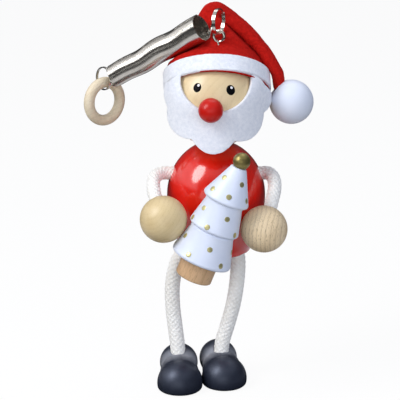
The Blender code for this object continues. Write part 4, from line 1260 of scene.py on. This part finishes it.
# Height along the tree, then angles round it in degrees from straight ahead
DOT_ROWS = (
    (50.5, (34.0, -50.0, 122.0, 206.0)),
    (44.0, (-1.0, -57.0, 64.0, 126.0, 186.0, 242.0)),
    (34.1, (18.0, -58.0, 92.0, 160.0, 228.0)),
    (27.7, (-21.0, 54.0, -75.0, 118.0, 176.0, 232.0)),
    (18.6, (4.0, -70.0, 76.0, 148.0, 218.0)),
    (12.9, (-32.0, 38.0, -98.0, 108.0, 170.0, 216.0)),
)


def tree_radius(height):
    """Radius of the tree's flank at a height, and how far it draws in for each millimetre up."""
    tier = sum(height > rim for rim in TREE_RIMS) - 1
    low, low_radius = TREE_RIMS[tier] + FLANK_START, TREE_RIM_RADII[tier]
    high = TREE_TOP - FLANK_TOP if tier == 2 else TREE_RIMS[tier + 1] - FLANK_END
    slope = (low_radius - TREE_NECK_RADII[tier]) / (high - low)
    return low_radius - slope * max(0.0, height - low), slope


def gold_paint(name, bright, dull):
    """Gold paint: brass flakes in a clear binder, so a metal look that is a little grainy and dull."""
    made, tree = empty_material(name)
    place = add(tree, "ShaderNodeTexCoord").outputs["Object"]
    flake = add(tree, "ShaderNodeTexNoise", {"Vector": place, "Scale": 1 / (0.35 * MM), "Detail": 2.0})
    gold = add(tree, "ShaderNodeMix", {"Factor": flake, 6: colour(bright), 7: colour(dull)}, data_type="RGBA")
    bump = add(tree, "ShaderNodeBump", {"Height": flake, "Strength": 0.15, "Distance": 0.1 * MM})
    shader = add(
        tree,
        "ShaderNodeBsdfPrincipled",
        {"Base Color": gold, "Metallic": 0.75, "Roughness": 0.38, "Normal": bump},
    )
    add(tree, "ShaderNodeOutputMaterial", {"Surface": shader})
    return made


# A shallow round of paint goes on each point, square to the point's own direction.
dot_group, given = empty_group(
    "paint_dots",
    {"Points": "Geometry", "Dot radius": "Float", "Height": "Float", "Finish": "Material"},
    "Dots",
)
ball = add(dot_group, "GeometryNodeMeshUVSphere", {"Segments": 20, "Rings": 8, "Radius": 1.0})
shape = add(
    dot_group, "ShaderNodeCombineXYZ", {0: given["Dot radius"], 1: given["Dot radius"], 2: given["Height"]}
)
facing = add(dot_group, "GeometryNodeInputNamedAttribute", {"Name": "facing"}, data_type="FLOAT_VECTOR")
turn = add(dot_group, "FunctionNodeAlignRotationToVector", {"Vector": facing}, axis="Z")
dabs = add(
    dot_group,
    "GeometryNodeInstanceOnPoints",
    {"Points": given["Points"], "Instance": ball, "Rotation": turn, "Scale": shape},
)
real = add(dot_group, "GeometryNodeRealizeInstances", {"Geometry": dabs})
smooth = add(dot_group, "GeometryNodeSetShadeSmooth", {"Geometry": real})
finished = add(dot_group, "GeometryNodeSetMaterial", {"Geometry": smooth, "Material": given["Finish"]})
add(dot_group, "NodeGroupOutput", {"Dots": finished})

dot_gold = gold_paint("bright_gold_dots", "#DDD6A2", "#B9B077")
spots = []
facings = []
for height, angles in DOT_ROWS:
    radius, slope = tree_radius(height)
    for degrees in angles:
        angle = math.radians(degrees)
        out = Vector((math.sin(angle), -math.cos(angle), slope)).normalized()
        spot = Vector((radius * math.sin(angle), -radius * math.cos(angle), height))
        spots.append(tree_place @ (spot * MM))
        facings.append(tree_place.to_3x3() @ out)
values = {"Dot radius": DOT_RADIUS * MM, "Height": DOT_HEIGHT * MM, "Finish": dot_gold}
dots = grown("gold_dots", dot_group, spots, [], facings, values)
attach(dots, "figure")

# Trunk: a turned stub of bare beech.
# Its tenon is glued up into the foot of the tree.
TRUNK_RADIUS = 8.6
TRUNK_CHAMFER = 0.3
TRUNK_FOOT_ROUND = 0.9
TENON_RADIUS = 4.5
TENON_LENGTH = 8.0
TRUNK_GAP = 0.3  # under the lowest tier
trunk_top = TREE_RIMS[0] - TRUNK_GAP
trunk_wood = beech("bare_beech_trunk", at(*TREE_FOOT), TREE_AXIS, "#D9B48C", "#C79E72", 0.4, 0.5, 0.55)
trunk_profile = [(0.0, trunk_top + TENON_LENGTH), (TENON_RADIUS, trunk_top + TENON_LENGTH)]
trunk_profile += [(TENON_RADIUS, trunk_top), (TRUNK_RADIUS - TRUNK_CHAMFER, trunk_top)]
trunk_profile.append((TRUNK_RADIUS, trunk_top - TRUNK_CHAMFER))
foot_radius = TRUNK_RADIUS - TRUNK_FOOT_ROUND
trunk_profile += arc(foot_radius, TRUNK_FOOT_ROUND, TRUNK_FOOT_ROUND, TRUNK_FOOT_ROUND, 0.0, -85.0, 7)
trunk = turned("tree_stem", [*trunk_profile, (0.0, 0.0)], tree_place, trunk_wood)
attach(trunk, "figure")
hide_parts("tree_trunk")

# Bead: a small drilled wooden bead in a duller gold paint.
# It is glued on the tree's top.
BEAD_RADIUS = 4.0
BEAD_ALONG = 59.4
BEAD_BORE = (0.6, 2.0)
BEAD_SIDES = 48
bead_gold = gold_paint("dull_gold_bead", "#A0925C", "#74693A")
bead_place = at(*(TREE_FOOT + TREE_AXIS * BEAD_ALONG))
bead = turned_ball("gold_bead", bead_place, BEAD_RADIUS, TREE_AXIS, BEAD_BORE, bead_gold, BEAD_SIDES)
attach(bead, "figure")
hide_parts("tree_bead")

# Hands: two turned beech balls, each bored and glued on the end of its arm.
# The grain of the left one stands upright to the front.
HAND_RADIUS = 10.9
HAND_BORE_REACH = 14.0
LATHE_MARK = (0.8, 1.2)  # the small hole that the lathe's centre leaves below
# Centre, then the wood: its grain, pale and dark tone, share of rings and of flecks, and roughness
HANDS = (
    ("right", Vector((-24.5, -32.0, 89.4)), (0.2, 1.0, 0.35), "#E2CD9F", "#D3B987", 0.12, 0.15, 0.4),
    ("left", Vector((21.9, -29.0, 83.9)), (0.12, 0.1, 1.0), "#F3DEB9", "#E5C99D", 0.5, 0.65, 0.5),
)
for side, centre, *looks in HANDS:
    wood = beech("beech_" + side + "_hand", at(*centre), *looks)
    hand = turned_ball(side + "_hand_ball", at(*centre), HAND_RADIUS, -UP, LATHE_MARK, wood)
    drill(hand, [rope_bore(side + "_arm", -1, HAND_BORE_REACH)])
    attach(hand, side + "_arm")
    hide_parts(side + "_hand")

# Shoes: each is turned as a toe ball and a heel ball run into one, sanded flat below,
# painted satin black and bored from above for the leg, which is glued in.
SHOE_TOE_RADIUS = 11.0
SHOE_HEEL_RADIUS = 9.3
SHOE_PITCH = 14.5
SHOE_AXIS_TILT = math.radians(22.0)
SHOE_TOE_HEIGHT = 3.3
SHOE_BLEND = 2.6  # how sharply the two balls meet
SHOE_STEPS = 60
SHOE_BORE_REACH = 24.0
SOLE_ROUND = 1.6
SOLE_STEPS = 5
WAIST = 10.5  # where the dust and painted sheen lie between toe and heel, along the shoe from the toe's centre
WAIST_REACH = 5.0
# Where the toe's centre stands, and how far the toe turns to the figure's left
SHOES = (("right", (-17.4, -17.2), math.radians(3.0)), ("left", (4.1, -11.2), math.radians(12.0)))

# Shoe paint: blue-black with a soft gloss, greyer and duller on the upward faces of the waist: dust, with a
# painted sheen of light.
shoe_black, tree = empty_material("satin_black_shoe_paint")
place = add(tree, "ShaderNodeTexCoord").outputs["Object"]
cloud = add(tree, "ShaderNodeTexNoise", {"Vector": place, "Scale": 1 / (7 * MM), "Detail": 4.0})
waist = add(tree, "ShaderNodeAttribute", attribute_name="dust_and_sheen").outputs["Fac"]
# The pale grey in the waist is dust together with a painted sheen of light from above.
dust_and_sheen_share = add(tree, "ShaderNodeMath", {0: waist, 1: cloud}, operation="MULTIPLY")
black = colour("#161A25")
for share, paler in ((cloud, "#222735"), (dust_and_sheen_share, "#C2C3C8")):
    black = add(tree, "ShaderNodeMix", {"Factor": share, 6: black, 7: colour(paler)}, data_type="RGBA")
rough = add(tree, "ShaderNodeMapRange", {"Value": dust_and_sheen_share, "To Min": 0.43, "To Max": 0.7})
shader = add(
    tree,
    "ShaderNodeBsdfPrincipled",
    {
        "Base Color": black,
        "Roughness": rough,
        "Specular IOR Level": 1.0,
        "Specular Tint": colour("#D3DDF6"),
    },
)
add(tree, "ShaderNodeOutputMaterial", {"Surface": shader})

shoe_back = SHOE_PITCH + SHOE_HEEL_RADIUS
shoe_profile = []
for i in range(SHOE_STEPS + 1):
    swing = math.cos(math.pi * i / SHOE_STEPS)
    along = (shoe_back - SHOE_TOE_RADIUS) / 2 + (shoe_back + SHOE_TOE_RADIUS) / 2 * swing
    toe = math.sqrt(max(SHOE_TOE_RADIUS**2 - along**2, 0.0))
    heel = math.sqrt(max(SHOE_HEEL_RADIUS**2 - (along - SHOE_PITCH) ** 2, 0.0))
    radius = (toe**SHOE_BLEND + heel**SHOE_BLEND) ** (1 / SHOE_BLEND)
    shoe_profile.append((radius if 0 < i < SHOE_STEPS else 0.0, along))
for side, toe_place, turn in SHOES:
    lie = Matrix.Rotation(-(math.pi / 2 - SHOE_AXIS_TILT), 4, "X")
    shoe_place = Matrix.Translation(at(*toe_place, SHOE_TOE_HEIGHT)) @ Matrix.Rotation(turn, 4, "Z") @ lie
    shoe = turned(side + "_black_shoe", shoe_profile, shoe_place, shoe_black)
    bm = bmesh.new()
    bm.from_mesh(shoe.data)
    for level in range(SOLE_STEPS):
        bmesh.ops.bisect_plane(
            bm,
            geom=[*bm.verts, *bm.edges, *bm.faces],
            plane_co=(0, 0, SOLE_ROUND * MM * level / SOLE_STEPS),
            plane_no=(0, 0, -1),
            clear_outer=level == 0,
        )
    bmesh.ops.holes_fill(bm, edges=[edge for edge in bm.edges if edge.is_boundary])
    bm.normal_update()
    for vertex in bm.verts:
        low = 1 - vertex.co.z / (SOLE_ROUND * MM)
        if low > 0:
            draw_in = SOLE_ROUND * MM * (1 - math.sqrt(max(0.0, 1 - low**2)))
            vertex.co -= Vector((vertex.normal.x, vertex.normal.y, 0.0)).normalized() * draw_in
    bm.to_mesh(shoe.data)
    bm.free()
    drill(shoe, [rope_bore(side + "_leg", -1, SHOE_BORE_REACH)])
    # Upward faces of the waist are marked for dust and a painted sheen: paler paint that stands in for light
    # from above.
    dust_and_sheen = shoe.data.attributes.new("dust_and_sheen", "FLOAT", "POINT")
    for vertex, value in zip(shoe.data.vertices, dust_and_sheen.data):
        along = (shoe_place.inverted() @ vertex.co).z / MM
        value.value = max(0.0, 1 - abs(along - WAIST) / WAIST_REACH) if vertex.normal.z > 0 else 0.0
    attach(shoe, side + "_leg")
    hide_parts(side + "_shoe")
